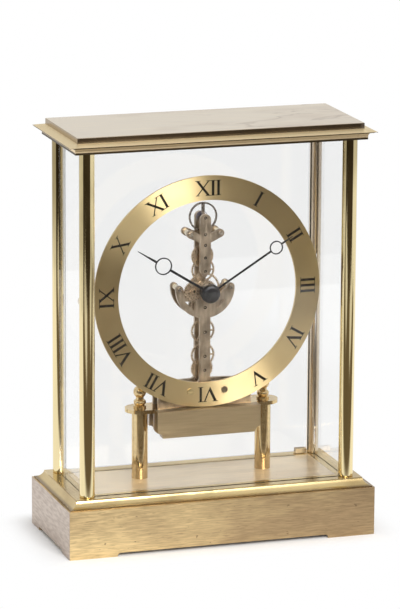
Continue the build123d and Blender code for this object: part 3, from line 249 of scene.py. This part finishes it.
# Panes: polished plate glass, one at the front, one at each side and the door at the back.
# Lamps shine through it, and faint wiping marks soften its gloss here and there.
glass_tint = (0.995, 0.998, 0.997, 1.0)
glass_ior = 1.5
wiping_waves, wiping_range, wiping_roughness = (14, 14, 40), (0.45, 0.8), 0.03
clear_glass = bpy.data.materials.new("clear_glass")
clear_glass.use_nodes = True
glass_tree = clear_glass.node_tree
glass_shader = glass_tree.nodes["Principled BSDF"]
glass_shader.inputs["Base Color"].default_value = glass_tint
glass_shader.inputs["Transmission Weight"].default_value = 1.0
glass_shader.inputs["IOR"].default_value = glass_ior
wiping = span(glass_tree, cloud(glass_tree, wiping_waves, warp=0.6), *wiping_range, 0.0, wiping_roughness)
glass_tree.links.new(wiping, glass_shader.inputs["Roughness"])
lamp_ray = add_node(glass_tree, "ShaderNodeLightPath").outputs["Is Shadow Ray"]
let_through = add_node(glass_tree, "ShaderNodeBsdfTransparent", {"Color": glass_tint})
pane_mix = add_node(glass_tree, "ShaderNodeMixShader", {0: lamp_ray, 1: glass_shader.outputs["BSDF"],
                                                        2: let_through.outputs["BSDF"]})
glass_out = glass_tree.nodes["Material Output"]
glass_tree.links.new(pane_mix.outputs["Shader"], glass_out.inputs["Surface"])
dress(clear_glass, "front_pane", "side_panes", "door_pane")

# Door fittings: brass shoes cemented to the corners of the door, with its hinge pins, and a turned knob.
# The shoes are satin like the floor plate, and the knob is polished.
dress(floor_brass, "door_shoes")
dress(drawn_brass, "door_knob")

# Cornice and top slab: a drawn and mitred moulding under a flat plate of thicker brass.
# The plate is brushed along its length and brown veins run in its lacquer. Its upright edges are painted
# shade, dark brown and lighter at the bottom, and its ends a darker gold, also painted shade.
# The moulding is satin, with painted shade along its lip, up its cove and on the thin edge of its flange,
# a painted highlight on its step, and painted light on its level faces.
slab_gold = (0.76, 0.66, 0.50)
slab_brown = (0.62, 0.50, 0.36)
slab_brass = metal("slab_brass", slab_gold, slab_brown, patches=(24, 50, 24), between=(0.45, 0.8),
                   drift=(1.2, 0, 0), grain=(40, 900, 40), lines=0.06, rough=(0.30, 0.40), depth=0.8e-5,
                   lacquer=0.6, stretch=0.5, across=across_grain)
slab_tree = slab_brass.node_tree
vein_brown = (0.36, 0.25, 0.15)
vein_waves, noise_middle, vein_width, vein_strength = (11, 30, 11), 0.5, 0.02, 0.5
veins_begin, veins_full = -0.03, 0.03
vein_noise = cloud(slab_tree, vein_waves, detail=4.0, warp=1.5)
off_vein = calculate(slab_tree, "ABSOLUTE", calculate(slab_tree, "SUBTRACT", vein_noise, noise_middle))
vein = span(slab_tree, off_vein, 0.0, vein_width, vein_strength, 0.0)
veined = span(slab_tree, along(slab_tree, on_piece(slab_tree), lengthwise), veins_begin, veins_full)
overlay(slab_brass, calculate(slab_tree, "MULTIPLY", vein, veined), vein_brown)
# Painted shade on the slab's upright faces: dark brown, lighter at the bottom, and a darker gold on its ends.
edge_shade_brown = (0.07, 0.048, 0.028)
edge_shade_gold = (0.15, 0.118, 0.077)
slab_low, slab_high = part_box("top_slab")
edge_height = along(slab_tree, on_piece(slab_tree), upright)
darker = span(slab_tree, edge_height, slab_low.z, (slab_low.z + slab_high.z) / 2)
on_edge = calculate(slab_tree, "SUBTRACT", 1.0, facing(slab_tree, upright))
overlay(slab_brass, on_edge, tinted(slab_tree, darker, edge_shade_gold, edge_shade_brown))
slab_end_shade_gold = (0.39, 0.29, 0.165)
overlay(slab_brass, facing(slab_tree, lengthwise), slab_end_shade_gold)
cornice_brass = metal("cornice_brass", drawn_gold, drawn_brown, patches=(24, 24, 60), between=(0.4, 0.7),
                      grain=(60, 60, 1600), lines=0.06, rough=(0.17, 0.23), stretch=0.5, across=across_grain)
cornice_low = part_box("cornice")[0]
# Painted light and shade: a paler gold on level faces, dark brown on the lip and up the cove, a bright gold
# on the step.
cornice_top_light = (0.81, 0.67, 0.42)
lip_shade_brown = (0.07, 0.05, 0.028)
step_light_gold = (0.95, 0.75, 0.47)
cove_shade_brown = (0.34, 0.255, 0.14)
lip_rise, step_height, cove_rise, flange_height = (0.0009, 0.00135), 0.0018, (0.00225, 0.00324), 0.0040
step_roughness, flange_roughness = 0.36, 0.45
cornice_tree = cornice_brass.node_tree
level_face = facing(cornice_tree, upright)
upright_face = calculate(cornice_tree, "SUBTRACT", 1.0, level_face)
cornice_height = along(cornice_tree, on_piece(cornice_tree), upright)
cornice_rise = calculate(cornice_tree, "SUBTRACT", cornice_height, cornice_low.z)
step_light_and_shade = tinted(cornice_tree, span(cornice_tree, cornice_rise, *lip_rise), lip_shade_brown, step_light_gold)
moulding_light_and_shade = tinted(cornice_tree, span(cornice_tree, cornice_rise, *cove_rise), step_light_and_shade, cove_shade_brown)
on_cove = calculate(cornice_tree, "GREATER_THAN", cornice_rise, step_height)
below_flange = calculate(cornice_tree, "LESS_THAN", cornice_rise, flange_height)
on_flange = calculate(cornice_tree, "SUBTRACT", 1.0, below_flange)
on_moulding = calculate(cornice_tree, "MULTIPLY", below_flange,
                        calculate(cornice_tree, "MAXIMUM", upright_face, on_cove))
# Painted light on the level faces, painted shade on the flange's edge, painted shade and highlight on lip,
# step and cove.
overlay(cornice_brass, level_face, cornice_top_light)
overlay(cornice_brass, calculate(cornice_tree, "MULTIPLY", on_flange, upright_face), edge_shade_brown)
overlay(cornice_brass, on_moulding, moulding_light_and_shade)
step_satin = calculate(cornice_tree, "MULTIPLY", on_moulding, step_roughness)
flange_satin = calculate(cornice_tree, "MULTIPLY", level_face, flange_roughness)
satin = calculate(cornice_tree, "MAXIMUM", step_satin, flange_satin)
roughness = cornice_tree.nodes["Principled BSDF"].inputs["Roughness"]
polish = roughness.links[0].from_socket
cornice_tree.links.new(calculate(cornice_tree, "MAXIMUM", polish, satin), roughness)
dress(cornice_brass, "cornice")
dress(slab_brass, "top_slab")

# Posts, platform and finials: turned brass on two posts screwed to the floor plate.
# The platform carries the movement, and the finials screw down through it into the posts.
warm_gold = (0.80, 0.62, 0.345)
warm_brown = (0.62, 0.44, 0.24)
turned_brass = metal("turned_brass", warm_gold, warm_brown, patches=(60, 60, 25), between=(0.35, 0.7),
                     grain=(300, 300, 700), lines=0.06, rough=(0.07, 0.13))
dress(turned_brass, "platform_posts", "platform", "finials")

# Apron: a notched brass block in front of the barrel, brushed along its length.
# It is screwed to the lower bridge and hides the spring barrel.
apron_gold = (0.345, 0.262, 0.152)
apron_brown = (0.28, 0.206, 0.117)
apron_brass = metal("apron_brass", apron_gold, apron_brown, patches=(24, 24, 60), between=(0.2, 1.0),
                    grain=(70, 70, 1800), lines=0.08, rough=(0.34, 0.42), depth=1.0e-6, lacquer=0.2,
                    stretch=0.6, across=across_grain)
dress(apron_brass, "front_apron")

# Movement plates: two bridges in front and one long plate behind, sawn from hard brass and grained.
# Bright pillars and slotted screws hold them apart, and a dark ring round each pivot
# is partly old oil and partly painted shade in its sink.
plate_rose = (0.53, 0.425, 0.315)
plate_grey = (0.34, 0.275, 0.205)
plate_brass = metal("plate_brass", plate_rose, plate_grey, patches=(150, 150, 110), between=(0.38, 0.66),
                    grain=(900, 900, 120), lines=0.12, rough=(0.28, 0.42), depth=0.8e-5)
dress(plate_brass, "front_lower_bridge", "front_upper_bridge", "rear_plate")
pale_gold = (0.88, 0.80, 0.62)
pale_shade = (0.74, 0.62, 0.43)
pillar_brass = metal("pillar_brass", pale_gold, pale_shade, patches=(150, 150, 150), rough=(0.14, 0.22))
dress(pillar_brass, "frame_pillars", "wheel_studs")
screw_grey = (0.58, 0.52, 0.44)
screw_dark = (0.34, 0.30, 0.255)
screw_steel = metal("screw_steel", screw_grey, screw_dark, patches=(300, 300, 300), between=(0.4, 0.7),
                    grain=(1500, 1500, 1500), lines=0.10, rough=(0.22, 0.36))
dress(screw_steel, "frame_screws")

sink_radius, sink_depth = 0.00088, 0.0005
pivot_radius, oil_thickness, oil_steps = 0.00036, 0.00004, 24
flat_share, drawn_up = 0.8, 3 * oil_thickness
oiled_bodies = ["first", "second", "lower_transfer", "upper_transfer", "third", "fourth", "escape", "pallet",
                "balance"]
# The dark rings are partly old oil and partly painted shade in the pivot sinks.
oil_and_shade_black = (0.030, 0.022, 0.016)
oil_and_shade_brown = (0.075, 0.052, 0.034)
oil_and_shade = metal("oil_and_shade", oil_and_shade_black, oil_and_shade_brown, patches=(900, 900, 900), grain=(1500, 1500, 1500),
                rough=(0.16, 0.30), metallic=0.0)


def add_piece(name, shape, finish, body):
    """Turns a finished shape into a piece of the clock that moves with a body."""
    mesh = bpy.data.meshes.new(name)
    shape.to_mesh(mesh)
    shape.free()
    mesh.materials.append(finish)
    piece = bpy.data.objects.new(name, mesh)
    bpy.context.scene.collection.objects.link(piece)
    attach(piece, body)


def oil_and_shade_ring(shape, middle):
    """A dark ring of oil and painted shade round one pivot, its upper edge drawn up the wall of the sink."""
    rows = ((pivot_radius, 0.0), (pivot_radius, oil_thickness), (sink_radius * flat_share, oil_thickness),
            (sink_radius, drawn_up), (sink_radius, 0.0))
    turns = [math.tau * step / oil_steps for step in range(oil_steps)]
    rings = [[shape.verts.new(middle + Vector((radius * math.cos(turn), -rise, radius * math.sin(turn))))
              for turn in turns] for radius, rise in rows]
    for ring, outer in zip(rings, rings[1:] + rings[:1]):
        for step in range(oil_steps):
            onward = (step + 1) % oil_steps
            shape.faces.new((ring[step], ring[onward], outer[onward], outer[step]))


sink_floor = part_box("front_lower_bridge")[0].y + sink_depth
oil = bmesh.new()
for joint in frame["joints"]:
    if joint["child"].removesuffix("_group") in oiled_bodies:
        pivot = Vector(joint["pos_m"])
        oil_and_shade_ring(oil, Vector((pivot.x, sink_floor, pivot.z)))
bmesh.ops.recalc_face_normals(oil, faces=oil.faces)
add_piece("pivot_oil_and_shade", oil, oil_and_shade, "case")

# Power train: a barrel with its coiled spring, wound by a knurled knob behind the rear plate.
# Wheels are punched from brass, pinions and arbors are cut from polished steel.
wheel_gold = (0.68, 0.54, 0.38)
wheel_copper = (0.54, 0.40, 0.28)
gear_brass = metal("gear_brass", wheel_gold, wheel_copper, patches=(140, 140, 140), between=(0.4, 0.7),
                   grain=(1200, 1200, 1200), lines=0.10, rough=(0.24, 0.38))
train_steel_light = (0.62, 0.59, 0.55)
train_steel_dark = (0.42, 0.39, 0.35)
train_steel = metal("train_steel", train_steel_light, train_steel_dark, patches=(200, 200, 200),
                    between=(0.4, 0.7), grain=(1500, 300, 1500), rough=(0.14, 0.26))
dress(gear_brass, "barrel", "barrel_cover", "ratchet_wheel", "idler_wheel", "first_wheel", "second_wheel",
      "lower_transfer_wheel", "upper_transfer_wheel", "winding_knob", "setting_knob")
dress(train_steel, "barrel_arbor", "click", "mainspring")

# Going train and escapement: the wheels climb in line up to a plain balance on its own staff.
# The balance rim is dark gunmetal, and its hairspring is blued steel.
dress(gear_brass, "centre_wheel", "third_wheel", "fourth_wheel", "escape_wheel", "hairspring_stud")
dress(train_steel, "centre_arbor", "third_arbor", "fourth_arbor", "escape_arbor", "pallet_fork",
      "balance_staff")
gun_grey = (0.40, 0.35, 0.31)
gun_dark = (0.24, 0.21, 0.19)
gunmetal = metal("gunmetal", gun_grey, gun_dark, patches=(160, 160, 160), between=(0.35, 0.7),
                 lines=0.10, rough=(0.22, 0.34))
dress(gunmetal, "balance_wheel")
blue_bright = (0.10, 0.14, 0.30)
blue_dark = (0.05, 0.06, 0.14)
blued_steel = metal("blued_steel", blue_bright, blue_dark, patches=(500, 500, 500), between=(0.35, 0.7),
                    grain=(1500, 1500, 1500), lines=0.10, rough=(0.18, 0.3))
dress(blued_steel, "hairspring")

# Motion work: the cannon pinion, minute wheel and hour wheel gear the hour hand down behind the dial.
# They sit in front of the bridges, on the centre arbor and on a stud beside it.
dress(gear_brass, "minute_wheel", "hour_wheel")
dress(train_steel, "cannon_pinion")

# Chapter ring: a flat brass ring turned on a lathe, so its brushing runs round and fans the light.
# Two slotted screws on spacers fix it to the lower bridge, the left one paler than the right.
ring_gold = (0.76, 0.59, 0.31)
ring_tan = (0.66, 0.495, 0.26)
ring_low, ring_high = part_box("chapter_ring")
ring_middle = (ring_low + ring_high) / 2
ring_face = ring_low.y
in_ring_plane = (1, 0, 1)
turned_lines, groove_depth = 2500.0, 8.0e-6
ring_brass = metal("ring_brass", ring_gold, ring_tan, patches=(30, 30, 30), grain=(40, 40, 40), lines=0.03,
                   rough=(0.30, 0.35))
ring_tree = ring_brass.node_tree
ring_shader = ring_tree.nodes["Principled BSDF"]
from_middle = add_node(ring_tree, "ShaderNodeVectorMath", operation="SUBTRACT")
ring_tree.links.new(on_piece(ring_tree), from_middle.inputs[0])
from_middle.inputs[1].default_value = ring_middle
outward = add_node(ring_tree, "ShaderNodeVectorMath", operation="MULTIPLY")
ring_tree.links.new(from_middle.outputs["Vector"], outward.inputs[0])
outward.inputs[1].default_value = in_ring_plane
ring_tree.links.new(outward.outputs["Vector"], ring_shader.inputs["Tangent"])
ring_shader.inputs["Anisotropic"].default_value = 1.0
reach = add_node(ring_tree, "ShaderNodeVectorMath", operation="LENGTH")
ring_tree.links.new(outward.outputs["Vector"], reach.inputs[0])
turning = add_node(ring_tree, "ShaderNodeTexNoise", {"W": reach.outputs["Value"], "Scale": turned_lines},
                   noise_dimensions="1D").outputs["Fac"]
ring_bump = add_node(ring_tree, "ShaderNodeBump", {"Height": turning, "Distance": groove_depth})
ring_tree.links.new(ring_bump.outputs["Normal"], ring_shader.inputs["Normal"])
dress(ring_brass, "chapter_ring")
screw_bright = (0.60, 0.47, 0.25)
screw_tan = (0.30, 0.24, 0.16)
ring_screw_steel = metal("ring_screw_steel", screw_bright, screw_tan, patches=(120, 120, 120),
                         between=(0.45, 0.55), lines=0.10, rough=(0.30, 0.45), drift=(30, 0, 0))
dress(ring_screw_steel, "chapter_ring_screws")

# Numerals: twelve Roman hours printed in thick black enamel, their feet towards the middle of the ring.
# Strokes are drawn in shares of the letter height: a broad stroke, a hairline, and flat serifs.
numeral_foot = 0.0511
numeral_height = 0.0081
enamel_thickness = 0.00005
broad, hairline, upright_broad = 0.195, 0.09, 0.165
serif_reach, serif_thickness = 0.085, 0.04
spread = 0.36
letter_width = {"I": 0.37, "V": 0.90, "X": 0.98}
hours = ("I", "II", "III", "IV", "V", "VI", "VII", "VIII", "IX", "X", "XI", "XII")


def stroke_end(x, width, level):
    """The six corners of a stroke's end and its serif, at the top (1) from the left, at the foot (0) back."""
    inner = level - serif_thickness if level else serif_thickness
    left, right = x - width / 2, x + width / 2
    corners = [(left, inner), (left - serif_reach, inner), (left - serif_reach, level),
               (right + serif_reach, level), (right + serif_reach, inner), (right, inner)]
    return corners if level else corners[::-1]


def outline_one():
    return stroke_end(0, upright_broad, 1) + stroke_end(0, upright_broad, 0)


def outline_five():
    top = 1 - serif_thickness
    left, right = -spread - broad / 2, spread + hairline / 2
    fork_height = top * (broad + hairline) / (right - left)
    fork = (left * fork_height / top + broad, fork_height)
    return stroke_end(-spread, broad, 1) + [fork] + stroke_end(spread, hairline, 1) + [(0, 0)]


def outline_ten():
    top, drop = 1 - serif_thickness, 1 - 2 * serif_thickness
    closing = 4 * spread

    def notch(side, other):
        """Where one edge of the broad stroke meets one edge of the hairline, which close in on it."""
        share = 0.5 + (other * hairline - side * broad) / 2 / closing
        return (-spread + 2 * spread * share + side * broad / 2, top - share * drop)

    return (stroke_end(-spread, broad, 1) + [notch(1, -1)] + stroke_end(spread, hairline, 1) + [notch(1, 1)]
            + stroke_end(spread, broad, 0) + [notch(-1, 1)] + stroke_end(-spread, hairline, 0)
            + [notch(-1, -1)])


outlines = {"I": outline_one(), "V": outline_five(), "X": outline_ten()}
enamel_black = (0.007, 0.005, 0.003)
enamel_worn = (0.016, 0.012, 0.008)
enamel_specular = 0.1
black_enamel = metal("black_enamel", enamel_black, enamel_worn, patches=(400, 400, 400),
                     between=(0.45, 0.75), grain=(1500, 1500, 1500), lines=0.15, rough=(0.50, 0.62),
                     metallic=0.0)
enamel_shader = black_enamel.node_tree.nodes["Principled BSDF"]
enamel_shader.inputs["Specular IOR Level"].default_value = enamel_specular


def numeral(hour, letters):
    """One hour, drawn flat, thickened, and turned to its place on the ring."""
    shape = bmesh.new()
    cursor = -sum(letter_width[letter] for letter in letters) / 2
    raised = enamel_thickness / numeral_height
    for letter in letters:
        middle = cursor + letter_width[letter] / 2
        back = [shape.verts.new((middle + x, z, 0)) for x, z in outlines[letter]]
        front = [shape.verts.new((middle + x, z, raised)) for x, z in outlines[letter]]
        shape.faces.new(back)
        shape.faces.new(front)
        for corner in range(len(back)):
            shape.faces.new((back[corner - 1], back[corner], front[corner], front[corner - 1]))
        cursor += letter_width[letter]
    bmesh.ops.scale(shape, vec=(numeral_height,) * 3, verts=shape.verts)
    turn = hour * math.tau / len(hours)
    onward = Vector((math.cos(turn), 0, -math.sin(turn)))
    outward_way = Vector((math.sin(turn), 0, math.cos(turn)))
    towards_front = Vector((0, -1, 0))
    foot = Vector((ring_middle.x, ring_face, ring_middle.z)) + outward_way * numeral_foot
    place = Matrix.Translation(foot) @ Matrix((onward, outward_way, towards_front)).transposed().to_4x4()
    bmesh.ops.transform(shape, matrix=place, verts=shape.verts)
    bmesh.ops.recalc_face_normals(shape, faces=shape.faces)
    add_piece(f"numeral_{hour:02d}", shape, black_enamel, "case")


for number, letters in enumerate(hours, start=1):
    numeral(number, letters)

# Hands: cut from thin steel sheet with a ring before each tip, and blackened all over.
# The minute hand's domed hub covers the hour hand's drum.
hand_black = (0.045, 0.045, 0.048)
hand_worn = (0.10, 0.097, 0.097)
blackened_steel = metal("blackened_steel", hand_black, hand_worn, patches=(150, 150, 150), lines=0.12,
                        rough=(0.30, 0.44))
dress(blackened_steel, "hour_hand", "minute_hand")

# Studio: a sheet of white paper under the clock, white walls, and a dark room behind the camera.
# One large soft lamp hangs above the camera and a smaller one stands at the left. Polished metal mirrors
# the paper as dim ahead of the clock, with two lit patches, and cards keep lamp glare off the top.
camera_azimuth, camera_elevation, camera_roll = (math.radians(a) for a in (-18.0376, 13.1504, 0.3132))
camera_distance = 2.01414
camera_target = Vector((-0.001993, 0, 0.122132))
focal_pixels, picture_height, sensor = 3847.46, 609, 36.0
ahead = Vector((math.sin(camera_azimuth), -math.cos(camera_azimuth), 0))
backward = ahead * math.cos(camera_elevation) + Vector((0, 0, math.sin(camera_elevation)))
level_right = Vector((math.cos(camera_azimuth), math.sin(camera_azimuth), 0))
turned = Matrix((level_right, backward.cross(level_right), backward)).transposed()
lens = bpy.data.cameras.new("camera")
lens.lens = focal_pixels * sensor / picture_height
lens.sensor_width = sensor
camera = bpy.data.objects.new("camera", lens)
bpy.context.scene.collection.objects.link(camera)
stand = Matrix.Translation(camera_target + backward * camera_distance)
camera.matrix_world = stand @ (turned @ Matrix.Rotation(camera_roll, 3, "Z")).to_4x4()
bpy.context.scene.camera = camera
bpy.context.scene.view_settings.view_transform = "Standard"

half_a_bounce = 0.5


def seen_straight(tree):
    """1 for what the camera sees in the open or through glass, 0 for what a surface mirrors or gathers."""
    path = add_node(tree, "ShaderNodeLightPath").outputs
    unmirrored = calculate(tree, "LESS_THAN", path["Glossy Depth"], half_a_bounce)
    through_glass = calculate(tree, "MULTIPLY", path["Is Transmission Ray"], unmirrored)
    return calculate(tree, "MAXIMUM", path["Is Camera Ray"], through_glass)


wall_light = 0.85
white = (1.0, 1.0, 1.0)
room_brown = (0.052, 0.040, 0.026)
room_sides, room_ceiling = (0.50, 0.64), (0.20, 0.50)
world = bpy.data.worlds.new("studio")
bpy.context.scene.world = world
world.use_nodes = True
air = world.node_tree
direction = add_node(air, "ShaderNodeTexCoord").outputs["Generated"]
gloom = calculate(air, "MULTIPLY", span(air, along(air, direction, ahead), *room_sides),
                  span(air, along(air, direction, upright), *room_ceiling, 1.0, 0.0))
studio_light = tinted(air, gloom, (wall_light,) * 3, room_brown)
backdrop = tinted(air, seen_straight(air), studio_light, white)
air.links.new(backdrop, air.nodes["Background"].inputs["Color"])


def stage_sheet(name, reach, middle, tilt=0.0):
    """A square sheet of the studio, tilted up about its middle."""
    shape = bmesh.new()
    bmesh.ops.create_grid(shape, x_segments=1, y_segments=1, size=reach,
                          matrix=Matrix.Translation(middle) @ Matrix.Rotation(tilt, 4, "X"))
    mesh = bpy.data.meshes.new(name)
    shape.to_mesh(mesh)
    shape.free()
    sheet = bpy.data.objects.new(name, mesh)
    bpy.context.scene.collection.objects.link(sheet)
    return sheet


def bare_material(name):
    """A material whose nodes are only its output."""
    material = bpy.data.materials.new(name)
    material.use_nodes = True
    material.node_tree.nodes.remove(material.node_tree.nodes["Principled BSDF"])
    return material


card_white = bare_material("card_white")
card_tree = card_white.node_tree
card_glow = add_node(card_tree, "ShaderNodeEmission", {"Strength": wall_light})
card_tree.links.new(card_glow.outputs["Emission"], card_tree.nodes["Material Output"].inputs["Surface"])
card_reach, end_card_reach, tucked_in, flange_drop = 0.15, 0.075, 0.0002, 0.00125


def stand_card(name, reach, x, edge_y, bottom):
    """A card upright over an edge of the top. It isn't seen itself, and keeps glare off what is behind it."""
    card = stage_sheet(name, reach, (x, edge_y + tucked_in, bottom + reach), math.radians(90))
    card.visible_camera = False
    card.visible_diffuse = False
    card.visible_transmission = False
    card.data.materials.append(card_white)


stand_card("card_middle", card_reach, 0, slab_low.y, slab_low.z)
flange_tip = slab_low.z - flange_drop
stand_card("card_left", end_card_reach, slab_low.x - end_card_reach, cornice_low.y, flange_tip)
stand_card("card_right", end_card_reach, slab_high.x + end_card_reach, cornice_low.y, flange_tip)

depthwise = (0, 1, 0)
paper_reach, paper_front, shadow_reach = 0.60, -0.58, 0.021
paper_fade = (-0.16, -0.10)
patch_sides, patch_back, patch_level = (0.14, 0.22), (-0.40, -0.32), 0.7
paper_grey = (0.80, 0.80, 0.80, 1.0)
paper_brown = (0.14, 0.112, 0.075)
paper = stage_sheet("paper", paper_reach, (0, paper_reach + paper_front, 0))
paper_white = bare_material("paper_white")
paper_tree = paper_white.node_tree
lit = add_node(paper_tree, "ShaderNodeBsdfDiffuse", {"Color": paper_grey})
paper_y = along(paper_tree, on_piece(paper_tree), depthwise)
straight = seen_straight(paper_tree)
sideways = calculate(paper_tree, "ABSOLUTE", along(paper_tree, on_piece(paper_tree), lengthwise))
patch = calculate(paper_tree, "MULTIPLY", span(paper_tree, sideways, *patch_sides, 0.0, patch_level),
                  span(paper_tree, paper_y, *patch_back, 1.0, 0.0))
near_clock = span(paper_tree, paper_y, *paper_fade)
brightness = calculate(paper_tree, "MAXIMUM", straight, calculate(paper_tree, "MAXIMUM", near_clock, patch))
paper_look = tinted(paper_tree, brightness, paper_brown, white)
plain_white = add_node(paper_tree, "ShaderNodeEmission", {"Color": paper_look})
folded = add_node(paper_tree, "ShaderNodeVectorMath", operation="ABSOLUTE")
paper_tree.links.new(on_piece(paper_tree), folded.inputs[0])
past_foot = add_node(paper_tree, "ShaderNodeVectorMath", operation="SUBTRACT")
paper_tree.links.new(folded.outputs["Vector"], past_foot.inputs[0])
past_foot.inputs[1].default_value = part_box("plinth")[1]
outside = add_node(paper_tree, "ShaderNodeVectorMath", operation="MAXIMUM")
paper_tree.links.new(past_foot.outputs["Vector"], outside.inputs[0])
from_clock = add_node(paper_tree, "ShaderNodeVectorMath", operation="LENGTH")
paper_tree.links.new(outside.outputs["Vector"], from_clock.inputs[0])
fade = span(paper_tree, from_clock.outputs["Value"], 0.0, shadow_reach)
paper_path = add_node(paper_tree, "ShaderNodeLightPath").outputs
mirror_ray = calculate(paper_tree, "GREATER_THAN", paper_path["Glossy Depth"], half_a_bounce)
white_share = calculate(paper_tree, "MULTIPLY", fade, calculate(paper_tree, "MAXIMUM", straight, mirror_ray))
paper_mix = add_node(paper_tree, "ShaderNodeMixShader", {0: white_share, 1: lit.outputs["BSDF"],
                                                         2: plain_white.outputs["Emission"]})
paper_tree.links.new(paper_mix.outputs["Shader"], paper_tree.nodes["Material Output"].inputs["Surface"])
paper.data.materials.append(paper_white)


def soft_lamp(name, way, distance, size, power):
    """A square soft lamp that faces the clock and isn't seen itself."""
    light = bpy.data.lights.new(name, "AREA")
    light.size = size
    light.energy = power
    lamp = bpy.data.objects.new(name, light)
    bpy.context.scene.collection.objects.link(lamp)
    towards_lamp = Vector(way).normalized()
    turn = towards_lamp.to_track_quat("Z", "Y").to_matrix().to_4x4()
    lamp.matrix_world = Matrix.Translation(camera_target + towards_lamp * distance) @ turn
    lamp.visible_camera = False
    lamp.visible_transmission = False


soft_lamp("lamp_above", way=(0.0425, -0.865, 0.50), distance=1.6, size=0.6, power=22.0)
soft_lamp("lamp_left", way=(-0.257, -0.945, 0.20), distance=1.5, size=0.35, power=3.0)
